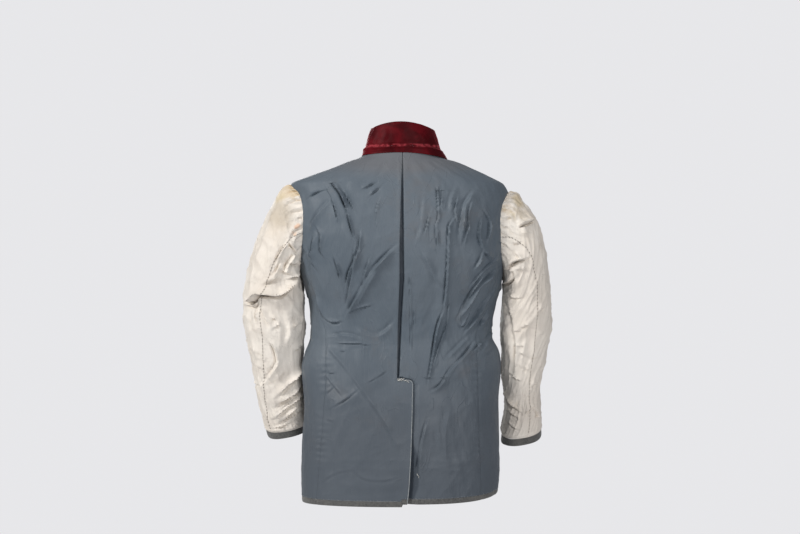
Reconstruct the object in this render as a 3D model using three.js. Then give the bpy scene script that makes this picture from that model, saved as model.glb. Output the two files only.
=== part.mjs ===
import * as THREE from "three";

// Uniform jacket turned inside out, worn. Millimetres, +Z up, front faces -Y, wearer's left +X.
// The origin is the nape, at the middle of the back neck seam.

const WALL = 2.4;
const SLEEVE_WALL = 2.0;
const COLLAR_WALL = 2.8;
const SEAM = 0.4;
const BAND = 11;
const BAND_WALL = 2.6;
const FACING = 72;
const FACING_TOP = -9;
const FRONT_TOP = -9.8;
const FACING_COLUMNS = { left: [0, 0.34, 0.67, 1], right: [0, 0.46, 0.68, 1] };
const CUFF_START = 0.04;
const LAP = 20;
const TUCK = 12;
const DIP = 4.4;
const FRONT_DIP = 5;
const NECK_DROP = 70;
const ARM_POWER = 2.2;
const TURN = Math.PI / 180;

const COLOURS = {
  lining: { color: 0x5c6670, roughness: 0.62 },
  sleeve: { color: 0xc9bcae, roughness: 0.66 },
  velvet: { color: 0x56161d, roughness: 0.9 },
  shell: { color: 0x55534f, roughness: 0.92 },
};

// One row per level of the body: half widths, line of the side, back, front and squareness.
const BODY = [
  { z: 10, left: 70, right: 70, side: -49, back: -5, front: -84, power: 2.0 },
  { z: 0, left: 76, right: 79, side: -50, back: 0, front: -88, power: 2.0 },
  { z: -8.6, left: 87.4, right: 91.3, side: -51, back: 3.5, front: -92, power: 2.0 },
  { z: -12.6, left: 99, right: 104, side: -52, back: 5, front: -94, power: 2.0 },
  { z: -28.5, left: 137, right: 137, side: -56, back: 12, front: -102, power: 2.05 },
  { z: -44.4, left: 181, right: 172, side: -60, back: 18, front: -110, power: 2.1 },
  { z: -62, left: 221, right: 203, side: -65, back: 25, front: -119, power: 2.15 },
  { z: -82, left: 217, right: 212, side: -70, back: 30, front: -134, power: 2.25 },
  { z: -123, left: 213.5, right: 211, side: -76, back: 38, front: -170, power: 2.4 },
  { z: -172, left: 211, right: 210, side: -80, back: 42, front: -197, power: 2.45 },
  { z: -201, left: 208, right: 207, side: -81, back: 41, front: -204, power: 2.45 },
  { z: -232, left: 202, right: 202, side: -81, back: 37, front: -207, power: 2.45 },
  { z: -267, left: 193, right: 197, side: -81, back: 29, front: -205, power: 2.4 },
  { z: -299, left: 185, right: 187, side: -81, back: 20, front: -200, power: 2.4 },
  { z: -347, left: 182, right: 179, side: -80, back: 13, front: -191, power: 2.4 },
  { z: -364, left: 182, right: 180, side: -79, back: 13, front: -189, power: 2.4 },
  { z: -395, left: 192, right: 193, side: -77, back: 18, front: -188, power: 2.4 },
  { z: -425, left: 199, right: 196, side: -76, back: 26, front: -189, power: 2.4 },
  { z: -491, left: 195, right: 192, side: -74, back: 40, front: -192, power: 2.4 },
  { z: -571, left: 198, right: 193, side: -73, back: 46, front: -194, power: 2.4 },
  { z: -640, left: 200, right: 194, side: -73, back: 46, front: -195, power: 2.4 },
  { z: -700, left: 199, right: 189, side: -73, back: 45, front: -193, power: 2.4 },
];

// The middle of the back: edge of the upper panel, start of the dip in the under panel.
const CENTRE_BACK = [
  { z: 10, over: -0.6, dip: -5.8 },
  { z: 0, over: -0.4, dip: -5.8 },
  { z: -172, over: 5, dip: -5.4 },
  { z: -250, over: 5, dip: -6 },
  { z: -327, over: 7.9, dip: -1.5 },
  { z: -418, over: 9.6, dip: 2 },
  { z: -441, over: 9.8, dip: -18 },
  { z: -444, over: 9.8, dip: -24 },
  { z: -447, over: -14, dip: -27 },
  { z: -454, over: -20.5, dip: -31 },
  { z: -520, over: -19.2, dip: -28 },
  { z: -588, over: -17.2, dip: -26 },
  { z: -655, over: -13.4, dip: -24 },
  { z: -700, over: -9, dip: -20 },
];

// Seams between the back and the side panels: distance from the middle.
const SIDE_SEAM = [
  { z: -190, left: 196, right: 196 },
  { z: -232, left: 187, right: 189 },
  { z: -299, left: 170, right: 170 },
  { z: -364, left: 150, right: 146 },
  { z: -425, left: 150, right: 148 },
  { z: -520, left: 155, right: 150 },
  { z: -640, left: 165, right: 154 },
  { z: -700, left: 169, right: 156 },
];

const ARMHOLES = {
  left: { sign: 1, top: -62, bottom: -232, back: 60, front: 56 },
  right: { sign: -1, top: -77, bottom: -236, back: 60, front: 56 },
};

const HEMS = {
  left: { back: -688, side: -690, front: -689 },
  right: { back: -683, side: -671, front: -684 },
};
const HEM_FADE = 90;

// Turns round an armhole from its top: where panel rows and sleeve columns meet.
const BACK_TURNS = [0, 17, 33, 47, 55, 62, 69, 76, 83, 90, 98, 108, 119, 131, 144, 157, 169, 180];
const FRONT_TURNS = [0, 17, 33, 62, 90, 112, 131, 144, 157, 169, 180];
const SEAM_TURN = 131;
const BACK_SEAM_TURN = 98;
const FRONT_SEAM_TURN = 112;

const SHOULDER_LEVELS = [0, -4.5, -9, -17, -28.5, -40, -52];
const NECK_LEVELS = [-4.5, -9, -17, -28.5, -40, -52, -61.6, -66, -69.6, -71.2];
const LOWER_LEVELS = [
  -252, -272, -292, -312, -330, -347, -364, -381, -398, -418, -441, -444, -447,
  -454, -482, -515, -550, -585, -618, -646,
];

// Folds of the back: ends, sideways bend, width and height of the ridge, depth beside it.
const BACK_FOLDS = [
  { x0: 133, z0: -58, x1: 89, z1: -200, bend: 9, width: 10.8, lift: 5.8, trough: 0.8 },
  { x0: 89, z0: -195, x1: 116, z1: -322, bend: -14, width: 12.2, lift: 4.1, trough: 0.7 },
  { x0: 164, z0: -150, x1: 178, z1: -222, bend: 3, width: 9.5, lift: 3.4, trough: 0.6 },
  { x0: 14, z0: -188, x1: 112, z1: -345, bend: 10, width: 13.5, lift: 3.7, trough: 0.5 },
  { x0: 172, z0: -360, x1: 50, z1: -371, bend: 2, width: 10.8, lift: 3, trough: 0.8 },
  { x0: 149, z0: -377, x1: 14, z1: -543, bend: 6, width: 17.6, lift: 3.4, trough: 0.4 },
  { x0: 137, z0: -497, x1: 26, z1: -420, bend: 8, width: 12.2, lift: 3, trough: 0.6 },
  { x0: 130, z0: -648, x1: -10, z1: -636, bend: 5, width: 13.5, lift: 2.3, trough: 0.6 },
  { x0: -92, z0: -148, x1: -54, z1: -416, bend: -6, width: 10.8, lift: 5.1, trough: 0.9 },
  { x0: -56, z0: -400, x1: -47, z1: -468, bend: 2, width: 10.8, lift: 2.8, trough: 0.6 },
  { x0: -71, z0: -63, x1: -65, z1: -160, bend: 2, width: 10.8, lift: 2.5, trough: 0.5 },
  { x0: -141, z0: -80, x1: -122, z1: -172, bend: 4, width: 13.5, lift: 4.1, trough: 0.5 },
  { x0: -133, z0: -170, x1: -172, z1: -262, bend: 4, width: 10.8, lift: 3.4, trough: 0.6 },
  { x0: -172, z0: -250, x1: -112, z1: -326, bend: -8, width: 12.2, lift: 3.9, trough: 0.7 },
  { x0: -158, z0: -362, x1: -52, z1: -462, bend: -8, width: 12.2, lift: 3.9, trough: 0.6 },
  { x0: -29, z0: -520, x1: -44, z1: -617, bend: 3, width: 12.2, lift: 2.3, trough: 0.8 },
];

// Folds of the fronts, plain and few.
const FRONT_FOLDS = [
  { x0: 150, z0: -120, x1: 96, z1: -250, bend: 8, width: 14.9, lift: 3.4, trough: 0.5 },
  { x0: -150, z0: -125, x1: -92, z1: -260, bend: -8, width: 14.9, lift: 3.4, trough: 0.5 },
  { x0: 160, z0: -350, x1: 92, z1: -440, bend: -6, width: 14.9, lift: 3, trough: 0.5 },
  { x0: -160, z0: -345, x1: -96, z1: -455, bend: 6, width: 14.9, lift: 3, trough: 0.5 },
];

// Sleeve sections: outer and inner point, line of the arm, half depths, hollow towards the
// body, fall of the section towards the back, and turn of the back seam.
const SLEEVE_ROWS = {
  left: [
    { ox: 222, oz: -62, ix: 202, iz: -232, y: -80, back: 60, front: 56, bow: 16, fall: 0, seam: 98 },
    { ox: 236, oz: -67, ix: 205, iz: -240, y: -80, back: 64, front: 60, bow: 11, fall: 0, seam: 96 },
    { ox: 248, oz: -80, ix: 204, iz: -247, y: -81, back: 67, front: 62, bow: 8, fall: 0, seam: 93 },
    { ox: 262, oz: -107, ix: 203.4, iz: -254, y: -82, back: 69, front: 64, bow: 5, fall: 0, seam: 90 },
    { ox: 276, oz: -139, ix: 202.4, iz: -261, y: -83, back: 70, front: 66, bow: 2, fall: 0, seam: 87 },
    { ox: 290, oz: -171, ix: 201, iz: -269, y: -84, back: 70, front: 67, bow: 0, fall: 0, seam: 84 },
    { ox: 303, oz: -213, ix: 199.4, iz: -277, y: -85, back: 69, front: 67, bow: 0, fall: 0, seam: 81 },
    { ox: 312, oz: -251, ix: 197.6, iz: -287, y: -86, back: 68, front: 66, bow: 0, fall: 0, seam: 77 },
    { ox: 316, oz: -283, ix: 196.4, iz: -299, y: -87, back: 66, front: 65, bow: 0, fall: -1, seam: 72 },
    { ox: 316.5, oz: -308, ix: 195.6, iz: -316, y: -89, back: 64, front: 64, bow: 0, fall: -3, seam: 67 },
    { ox: 315, oz: -342, ix: 195.6, iz: -343, y: -93, back: 63, front: 62, bow: 0, fall: -7, seam: 70 },
    { ox: 308, oz: -383, ix: 199.6, iz: -380, y: -101, back: 61, front: 60, bow: 0, fall: -10, seam: 67 },
    { ox: 301, oz: -422, ix: 201.6, iz: -417, y: -110, back: 58, front: 57, bow: 0, fall: -12, seam: 64 },
    { ox: 294, oz: -462, ix: 197, iz: -454, y: -119, back: 56, front: 54, bow: 0, fall: -13, seam: 58 },
    { ox: 287, oz: -500, ix: 191, iz: -490, y: -129, back: 53, front: 51, bow: 0, fall: -14, seam: 50 },
    { ox: 281, oz: -531, ix: 187, iz: -517, y: -137, back: 50, front: 48, bow: 0, fall: -14, seam: 48 },
    { ox: 277, oz: -551, ix: 184, iz: -533, y: -142, back: 48, front: 46, bow: 0, fall: -13, seam: 50 },
    { ox: 274, oz: -566, ix: 183, iz: -547, y: -146, back: 48, front: 46, bow: 0, fall: -12, seam: 51 },
  ],
  right: [
    { ox: 212, oz: -77, ix: 202, iz: -236, y: -80, back: 60, front: 56, bow: 16, fall: 0, seam: 98 },
    { ox: 227, oz: -77, ix: 205.2, iz: -244, y: -80, back: 64, front: 60, bow: 11, fall: 0, seam: 94 },
    { ox: 241, oz: -91, ix: 204.4, iz: -251, y: -81, back: 66, front: 62, bow: 8, fall: 0, seam: 88 },
    { ox: 257, oz: -110, ix: 204.6, iz: -258, y: -82, back: 67, front: 63, bow: 5, fall: 0, seam: 84 },
    { ox: 271, oz: -138, ix: 204.4, iz: -265, y: -83, back: 68, front: 64, bow: 2, fall: 0, seam: 78 },
    { ox: 282, oz: -171, ix: 204, iz: -273, y: -84, back: 67, front: 64, bow: 0, fall: 0, seam: 74 },
    { ox: 289, oz: -211, ix: 202.6, iz: -281, y: -85, back: 66, front: 64, bow: 0, fall: 0, seam: 72 },
    { ox: 294, oz: -249, ix: 201, iz: -290, y: -86, back: 65, front: 63, bow: 0, fall: 0, seam: 68 },
    { ox: 296.5, oz: -283, ix: 200, iz: -302, y: -87, back: 63, front: 62, bow: 0, fall: -1, seam: 69 },
    { ox: 297.5, oz: -312, ix: 199, iz: -320, y: -89, back: 61, front: 61, bow: 0, fall: -3, seam: 70 },
    { ox: 297, oz: -352, ix: 199, iz: -349, y: -93, back: 59, front: 60, bow: 0, fall: -7, seam: 72 },
    { ox: 290, oz: -394, ix: 202, iz: -386, y: -100, back: 57, front: 57, bow: 0, fall: -9, seam: 73 },
    { ox: 281, oz: -437, ix: 203, iz: -424, y: -108, back: 54, front: 54, bow: 0, fall: -11, seam: 73 },
    { ox: 278, oz: -474, ix: 206, iz: -462, y: -117, back: 51, front: 51, bow: 0, fall: -12, seam: 73 },
    { ox: 280, oz: -508, ix: 209, iz: -500, y: -126, back: 49, front: 49, bow: 0, fall: -13, seam: 72 },
    { ox: 282, oz: -534, ix: 207, iz: -536, y: -134, back: 48, front: 47, bow: 0, fall: -13, seam: 74 },
    { ox: 283, oz: -551, ix: 203, iz: -560, y: -139, back: 47, front: 46, bow: 0, fall: -11, seam: 78 },
    { ox: 284, oz: -566, ix: 201, iz: -573, y: -142, back: 47, front: 46, bow: 0, fall: -11, seam: 79 },
  ],
};
const CUFF_RING = 16;
const GATHER = 1.5;
const GATHER_FADE = [0, 1, 0.7, 0.3];

const SLEEVE_FOLDS = {
  left: [
    { x0: 314, z0: -279, x1: 222, z1: -306, bend: -10, width: 14.9, lift: 6.9, trough: 0.9 },
    { x0: 218, z0: -226, x1: 206, z1: -262, bend: 4, width: 12.2, lift: 5.2, trough: 0.6 },
    { x0: 240, z0: -195, x1: 286, z1: -262, bend: 5, width: 13.5, lift: 3.4, trough: 0.5 },
    { x0: 270, z0: -340, x1: 240, z1: -420, bend: -10, width: 14.9, lift: 3.4, trough: 0.6 },
    { x0: 264, z0: -448, x1: 204, z1: -398, bend: 5, width: 12.2, lift: 3.9, trough: 0.8 },
    { x0: 272, z0: -500, x1: 206, z1: -436, bend: 6, width: 12.2, lift: 3.9, trough: 0.8 },
    { x0: 264, z0: -530, x1: 200, z1: -486, bend: 5, width: 10.8, lift: 3.4, trough: 0.8 },
  ],
  right: [
    { x0: -262, z0: -128, x1: -226, z1: -150, bend: -3, width: 10.8, lift: 4.6, trough: 0.9 },
    { x0: -240, z0: -206, x1: -210, z1: -228, bend: -3, width: 12.2, lift: 5.2, trough: 0.9 },
    { x0: -212, z0: -232, x1: -236, z1: -262, bend: 4, width: 12.2, lift: 4.6, trough: 0.6 },
    { x0: -276, z0: -330, x1: -220, z1: -300, bend: 5, width: 13.5, lift: 2.8, trough: 0.6 },
    { x0: -222, z0: -330, x1: -240, z1: -470, bend: 6, width: 13.5, lift: 3, trough: 0.5 },
    { x0: -272, z0: -400, x1: -226, z1: -378, bend: 4, width: 12.2, lift: 2.8, trough: 0.6 },
    { x0: -276, z0: -520, x1: -236, z1: -494, bend: 4, width: 10.8, lift: 3, trough: 0.7 },
  ],
};

// Collar, from the neck seam up: share of the height, push outwards, lean to the neck.
const COLLAR_ROWS = [
  { up: 0, push: 0, lean: 0 },
  { up: 0.1, push: 1.4, lean: 0.06 },
  { up: 0.2, push: 2.2, lean: 0.14 },
  { up: 0.24, push: 1.4, lean: 0.18 },
  { up: 0.42, push: 0.6, lean: 0.36 },
  { up: 0.62, push: 0.8, lean: 0.56 },
  { up: 0.82, push: 0.5, lean: 0.78 },
  { up: 1, push: 0, lean: 1 },
];
const ROLL_ROW = 2;
const COLLAR_HEIGHT = { back: 59, side: 52, front: 46 };
const COLLAR_LEAN = { back: 6, side: 15, front: 8 };
const COLLAR_QUARTER = 8;
const COLLAR_END = 0.991;

function slopeAt(rows, key, name, i) {
  const last = rows.length - 1;
  const rise = (a, b) => (rows[b][name] - rows[a][name]) / (rows[b][key] - rows[a][key]);
  if (i === 0) return rise(0, 1);
  if (i === last) return rise(last - 1, last);
  const before = rise(i - 1, i);
  const after = rise(i, i + 1);
  return before * after <= 0 ? 0 : (2 * before * after) / (before + after);
}

function valueAt(rows, key, name, at) {
  let i = 0;
  while (i < rows.length - 2 && at < rows[i + 1][key]) i += 1;
  const span = rows[i + 1][key] - rows[i][key];
  const t = THREE.MathUtils.clamp((at - rows[i][key]) / span, 0, 1);
  const a = rows[i][name];
  const b = rows[i + 1][name];
  const da = slopeAt(rows, key, name, i) * span;
  const db = slopeAt(rows, key, name, i + 1) * span;
  const t2 = t * t;
  const t3 = t2 * t;
  return a * (2 * t3 - 3 * t2 + 1) + da * (t3 - 2 * t2 + t) + b * (3 * t2 - 2 * t3) + db * (t3 - t2);
}

function straightAt(rows, name, z) {
  let i = 0;
  while (i < rows.length - 2 && z < rows[i + 1].z) i += 1;
  const t = (z - rows[i].z) / (rows[i + 1].z - rows[i].z);
  return THREE.MathUtils.lerp(rows[i][name], rows[i + 1][name], THREE.MathUtils.clamp(t, 0, 1));
}

function smooth(from, to, at) {
  const t = THREE.MathUtils.clamp((at - from) / (to - from), 0, 1);
  return t * t * (3 - 2 * t);
}

function section(z) {
  const row = {};
  for (const name of ["left", "right", "side", "back", "front", "power"]) {
    row[name] = valueAt(BODY, "z", name, z);
  }
  return row;
}

function hemRise(theta, z) {
  const hem = theta >= 0 ? HEMS.left : HEMS.right;
  const across = Math.sin(theta) ** 2;
  const ahead = Math.cos(theta) >= 0 ? hem.back : hem.front;
  const wanted = ahead + (hem.side - ahead) * across * across;
  return (wanted - HEMS.left.side) * Math.exp((HEMS.left.side - z) / HEM_FADE);
}

// A point of the body: theta runs from the middle of the back round to the front.
function bodyPoint(theta, z) {
  const row = section(z);
  const s = Math.sin(theta);
  const c = Math.cos(theta);
  const reach = (Math.abs(s) ** row.power + Math.abs(c) ** row.power) ** (-1 / row.power);
  const half = s >= 0 ? row.left : row.right;
  const depth = c >= 0 ? row.back - row.side : row.side - row.front;
  const drop = (s >= 0 ? 3 : 7) * s * s * Math.exp(Math.min(0, z) / 16);
  const height = z - drop + hemRise(theta, z);
  return new THREE.Vector3(half * reach * s, row.side + depth * reach * c, height);
}

function bodyNormal(theta, z) {
  const round = bodyPoint(theta + 0.004, z).sub(bodyPoint(theta - 0.004, z));
  const up = bodyPoint(theta, z + 0.6).sub(bodyPoint(theta, z - 0.6));
  return up.cross(round).normalize();
}

function foldShape(d, fold) {
  const ridge = Math.exp(-((d / fold.width) ** 2));
  const valley = Math.exp(-(((d - 1.5 * fold.width) / fold.width) ** 2));
  return fold.lift * (ridge - fold.trough * valley);
}

// Height of one fold at (x, z): a bent line with a ridge on it and a trough on its left.
function foldAt(fold, x, z) {
  const dx = fold.x1 - fold.x0;
  const dz = fold.z1 - fold.z0;
  const long = Math.hypot(dx, dz);
  const along = ((x - fold.x0) * dx + (z - fold.z0) * dz) / (long * long);
  const off = ((z - fold.z0) * dx - (x - fold.x0) * dz) / long;
  if (along < -0.1 || along > 1.1 || Math.abs(off) > 60) return 0;
  const t = THREE.MathUtils.clamp(along, 0, 1);
  const taper = smooth(-0.08, 0.25, along) * smooth(1.08, 0.75, along);
  return taper * foldShape(off - fold.bend * 4 * t * (1 - t), fold);
}

function foldLift(folds, x, z) {
  return folds.reduce((sum, fold) => sum + foldAt(fold, x, z), 0);
}

function bodyLift(theta, z, point) {
  const facing = Math.cos(theta);
  const folds = facing > 0 ? BACK_FOLDS : FRONT_FOLDS;
  const fade = smooth(0, 0.34, Math.abs(facing)) * smooth(-4, -34, z) * smooth(-690, -668, z);
  return fade * foldLift(folds, point.x, point.z);
}

// A point of the cloth: down is the depth below the outer face, dip a step inwards.
function cloth(theta, z, down, dip) {
  const point = bodyPoint(theta, z);
  const lift = bodyLift(theta, z, point);
  return point.addScaledVector(bodyNormal(theta, z), lift - down - dip);
}

function thetaAtX(x, z, rear) {
  const row = section(z);
  const half = x >= 0 ? row.left : row.right;
  const s = Math.min(0.9999, Math.abs(x) / half);
  const c = (1 - s ** row.power) ** (1 / row.power);
  const theta = Math.atan2(s, rear ? c : -c);
  return x >= 0 ? theta : -theta;
}

function thetaAtY(y, z, sign) {
  const row = section(z);
  const depth = y >= row.side ? row.back - row.side : row.side - row.front;
  const c = (y - row.side) / depth;
  const s = (1 - Math.abs(c) ** row.power) ** (1 / row.power);
  return sign * Math.atan2(s, c);
}

function armholeLevel(side, turn, grow) {
  const hole = ARMHOLES[side];
  const middle = (hole.top + hole.bottom) / 2;
  const c = Math.cos(turn * TURN);
  const s = Math.abs(Math.sin(turn * TURN));
  const reach = (Math.abs(c) ** ARM_POWER + s ** ARM_POWER) ** (-1 / ARM_POWER);
  return middle + ((hole.top - hole.bottom) / 2 + grow) * reach * c;
}

// Where the armhole crosses a level, seen as an angle of the body.
function armholeTheta(side, z, rear, grow) {
  const hole = ARMHOLES[side];
  const middle = (hole.top + hole.bottom) / 2;
  const tall = (hole.top - hole.bottom) / 2 + grow;
  const u = Math.min(1, Math.abs(z - middle) / tall);
  const reach = (rear ? hole.back : -hole.front) + (rear ? grow : -grow);
  const y = section(z).side + reach * (1 - u ** ARM_POWER) ** (1 / ARM_POWER);
  return thetaAtY(y, z, hole.sign);
}

function seamTheta(side, z, rear) {
  const hole = ARMHOLES[side];
  const x = hole.sign * valueAt(SIDE_SEAM, "z", side, z);
  const top = armholeLevel(side, SEAM_TURN, SEAM);
  const joined = armholeTheta(side, top, rear, SEAM);
  const topX = Math.abs(bodyPoint(joined, top).x);
  const lead = (topX - valueAt(SIDE_SEAM, "z", side, top)) * Math.exp((z - top) / 30);
  return thetaAtX(x + hole.sign * lead, z, rear);
}

function panelEdge(side, z, rear) {
  const hole = ARMHOLES[side];
  const inset = (rear ? -1 : 1) * hole.sign * SEAM * 0.75 / 190;
  if (z >= armholeLevel(side, 0, SEAM) - 0.001) return hole.sign * Math.PI / 2 + inset * 3;
  if (z >= armholeLevel(side, SEAM_TURN, SEAM) - 0.001) return armholeTheta(side, z, rear, SEAM);
  return seamTheta(side, z, rear) + inset;
}

function levelsFor(side, turns) {
  const arm = turns.map((turn) => armholeLevel(side, turn, SEAM));
  const shoulders = SHOULDER_LEVELS.filter((z) => z > arm[0] + 4);
  return [...shoulders, ...arm, ...LOWER_LEVELS, bodyBottom()];
}

function bodyBottom() {
  return HEMS.left.side + BAND + SEAM;
}

// A closed wall between two grids of points with the same rows and columns.
function wall(rows, columns, outer, inner) {
  const positions = [];
  for (const face of [outer, inner]) {
    for (let i = 0; i <= rows; i += 1) {
      for (let j = 0; j <= columns; j += 1) positions.push(...face(i, j).toArray());
    }
  }
  const size = (rows + 1) * (columns + 1);
  const at = (face, i, j) => face * size + i * (columns + 1) + j;
  const index = [];
  const quad = (a, b, c, d) => index.push(a, b, c, a, c, d);
  for (let i = 0; i < rows; i += 1) {
    for (let j = 0; j < columns; j += 1) {
      quad(at(0, i, j), at(0, i, j + 1), at(0, i + 1, j + 1), at(0, i + 1, j));
      quad(at(1, i, j), at(1, i + 1, j), at(1, i + 1, j + 1), at(1, i, j + 1));
    }
  }
  for (let j = 0; j < columns; j += 1) {
    quad(at(0, 0, j), at(1, 0, j), at(1, 0, j + 1), at(0, 0, j + 1));
    quad(at(0, rows, j), at(0, rows, j + 1), at(1, rows, j + 1), at(1, rows, j));
  }
  for (let i = 0; i < rows; i += 1) {
    quad(at(0, i, 0), at(0, i + 1, 0), at(1, i + 1, 0), at(1, i, 0));
    quad(at(0, i, columns), at(1, i, columns), at(1, i + 1, columns), at(0, i + 1, columns));
  }
  return outward(positions, index);
}

function signedVolume(positions, index) {
  let sum = 0;
  const corner = (k) => new THREE.Vector3().fromArray(positions, index[k] * 3);
  for (let k = 0; k < index.length; k += 3) {
    sum += corner(k).dot(corner(k + 1).cross(corner(k + 2)));
  }
  return sum;
}

function outward(positions, index) {
  if (signedVolume(positions, index) < 0) index.reverse();
  const geometry = new THREE.BufferGeometry();
  geometry.setAttribute("position", new THREE.Float32BufferAttribute(positions, 3));
  geometry.setIndex(index);
  geometry.computeVertexNormals();
  return geometry;
}

function piece(name, kind, geometry) {
  const look = COLOURS[kind];
  const material = new THREE.MeshStandardMaterial({ ...look, metalness: 0 });
  const mesh = new THREE.Mesh(geometry, material);
  mesh.name = name;
  return mesh;
}

function backLapTheta(side, z) {
  if (side === "left") return thetaAtX(16, z, true);
  return thetaAtX(Math.min(straightAt(CENTRE_BACK, "dip", z), -4) - 4, z, true);
}

function backEdgeX(side, z) {
  const over = straightAt(CENTRE_BACK, "over", z);
  if (side === "left") return over;
  return Math.max(over, -2) + TUCK;
}

function backDip(side, theta, z) {
  if (side === "left") return 0;
  const x = bodyPoint(theta, z).x;
  const over = straightAt(CENTRE_BACK, "over", z);
  const dip = straightAt(CENTRE_BACK, "dip", z);
  return DIP * smooth(dip, over - 0.6, x);
}

function backTheta(side, z, j, lap, columns) {
  const edge = thetaAtX(backEdgeX(side, z), z, true);
  const inner = backLapTheta(side, z);
  if (j <= lap) return THREE.MathUtils.lerp(edge, inner, j / lap);
  return THREE.MathUtils.lerp(inner, panelEdge(side, z, true), (j - lap) / (columns - lap));
}

function backPanel(side) {
  const levels = levelsFor(side, BACK_TURNS);
  const lap = side === "left" ? 2 : 4;
  const columns = lap + 12;
  const at = (i, j, down) => {
    const theta = backTheta(side, levels[i], j, lap, columns);
    return cloth(theta, levels[i], down, backDip(side, theta, levels[i]));
  };
  return wall(levels.length - 1, columns, (i, j) => at(i, j, 0), (i, j) => at(i, j, WALL));
}

function backBand(side) {
  const lap = side === "left" ? 2 : 4;
  const columns = lap + 12;
  const bottom = bodyBottom();
  const levels = [bottom - SEAM, bottom - SEAM - BAND];
  const at = (i, j, down) => {
    const theta = backTheta(side, levels[i], j, lap, columns);
    return cloth(theta, levels[i], down, backDip(side, theta, levels[i]));
  };
  return wall(1, columns, (i, j) => at(i, j, 0), (i, j) => at(i, j, BAND_WALL));
}

// Columns of the side panel start at the turns of the armhole between its two seams.
function sideTurns() {
  const between = (turn) => turn >= SEAM_TURN && turn < 180;
  const rear = BACK_TURNS.filter(between).map((turn) => ({ turn, rear: true }));
  const ahead = FRONT_TURNS.filter(between).reverse().map((turn) => ({ turn, rear: false }));
  return [...rear, { turn: 180, rear: true }, ...ahead];
}

function sideTheta(side, z, j, starts) {
  const share = j / (starts.length - 1);
  const inset = ARMHOLES[side].sign * SEAM * 0.75 / 190;
  const from = seamTheta(side, z, true) + inset;
  const to = seamTheta(side, z, false) - inset;
  const start = starts[j];
  const base = THREE.MathUtils.lerp(from, to, share);
  if (j === 0 || j === starts.length - 1) return base;
  const topFrom = seamTheta(side, start.z, true) + inset;
  const topTo = seamTheta(side, start.z, false) - inset;
  const lead = start.theta - THREE.MathUtils.lerp(topFrom, topTo, share);
  return base + lead * Math.exp((z - start.z) / 26);
}

function sideStarts(side) {
  return sideTurns().map(({ turn, rear }) => {
    const z = armholeLevel(side, turn, SEAM);
    return { z, theta: armholeTheta(side, z, rear, SEAM) };
  });
}

function sideLevel(levels, i, start) {
  const bottom = levels[levels.length - 1];
  const share = (levels[0] - levels[i]) / (levels[0] - bottom);
  return THREE.MathUtils.lerp(start.z, bottom, share);
}

function sidePanel(side) {
  const top = armholeLevel(side, SEAM_TURN, SEAM);
  const levels = levelsFor(side, BACK_TURNS).filter((z) => z < top + 0.001);
  const starts = sideStarts(side);
  const at = (i, j, down) => {
    const z = sideLevel(levels, i, starts[j]);
    return cloth(sideTheta(side, z, j, starts), z, down, 0);
  };
  const columns = starts.length - 1;
  return wall(levels.length - 1, columns, (i, j) => at(i, j, 0), (i, j) => at(i, j, WALL));
}

function sideBand(side) {
  const starts = sideStarts(side);
  const top = bodyBottom() - SEAM;
  const at = (i, j, down) => {
    const z = top - i * BAND;
    return cloth(sideTheta(side, z, j, starts), z, down, 0);
  };
  return wall(1, starts.length - 1, (i, j) => at(i, j, 0), (i, j) => at(i, j, BAND_WALL));
}

// Front edge of the neck at a level, as a distance from the middle.
function neckHalf(side, z) {
  const u = Math.min(1, Math.max(0, -z / NECK_DROP));
  return section(0)[side] * Math.sqrt(1 - u * u);
}

function facingLine(side, z) {
  const wide = section(FACING_TOP)[side] - FACING;
  return FACING + wide * Math.exp(Math.min(0, z - FACING_TOP) / 60);
}

function frontPanel(side) {
  const levels = [FRONT_TOP, ...levelsFor(side, FRONT_TURNS).filter((z) => z < FRONT_TOP - 4)];
  const sign = ARMHOLES[side].sign;
  const columns = 7;
  const at = (i, j, down) => {
    const z = levels[i];
    const inner = thetaAtX(sign * (facingLine(side, z) + SEAM * 0.5), z, false);
    return cloth(THREE.MathUtils.lerp(panelEdge(side, z, false), inner, j / columns), z, down, 0);
  };
  return wall(levels.length - 1, columns, (i, j) => at(i, j, 0), (i, j) => at(i, j, WALL));
}

function frontBand(side) {
  const sign = ARMHOLES[side].sign;
  const columns = 7;
  const top = bodyBottom() - SEAM;
  const at = (i, j, down) => {
    const z = top - i * BAND;
    const inner = thetaAtX(sign * (facingLine(side, z) + SEAM * 0.5), z, false);
    return cloth(THREE.MathUtils.lerp(panelEdge(side, z, false), inner, j / columns), z, down, 0);
  };
  return wall(1, columns, (i, j) => at(i, j, 0), (i, j) => at(i, j, BAND_WALL));
}

function facingLevels(side) {
  const chest = levelsFor(side, FRONT_TURNS).filter((z) => z < -NECK_DROP - 8);
  return [...NECK_LEVELS, ...chest.slice(0, -1), HEMS.left.side];
}

function facingEdgeX(side, z) {
  const sign = ARMHOLES[side].sign;
  return z > -NECK_DROP ? sign * (neckHalf(side, z) + SEAM * 1.5) : -sign * LAP;
}

function facingOuterTheta(side, z) {
  const sign = ARMHOLES[side].sign;
  const line = sign * (facingLine(side, z) - SEAM * 0.5);
  const ridge = sign * (Math.PI / 2 + SEAM * 2 / 190);
  return z > FRONT_TOP ? ridge : thetaAtX(line, z, false);
}

function facingTheta(side, z, j) {
  const sign = ARMHOLES[side].sign;
  const x = facingEdgeX(side, z);
  const crossed = Math.sign(x) !== sign && x !== 0;
  const edge = thetaAtX(x, z, false) + (crossed ? sign * Math.PI * 2 : 0);
  return THREE.MathUtils.lerp(edge, facingOuterTheta(side, z), FACING_COLUMNS[side][j]);
}

// The right front passes under the left one.
function facingDip(side, point) {
  if (side === "left") return 0;
  return FRONT_DIP * smooth(-LAP - 22, -LAP - 2, point.x);
}

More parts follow.
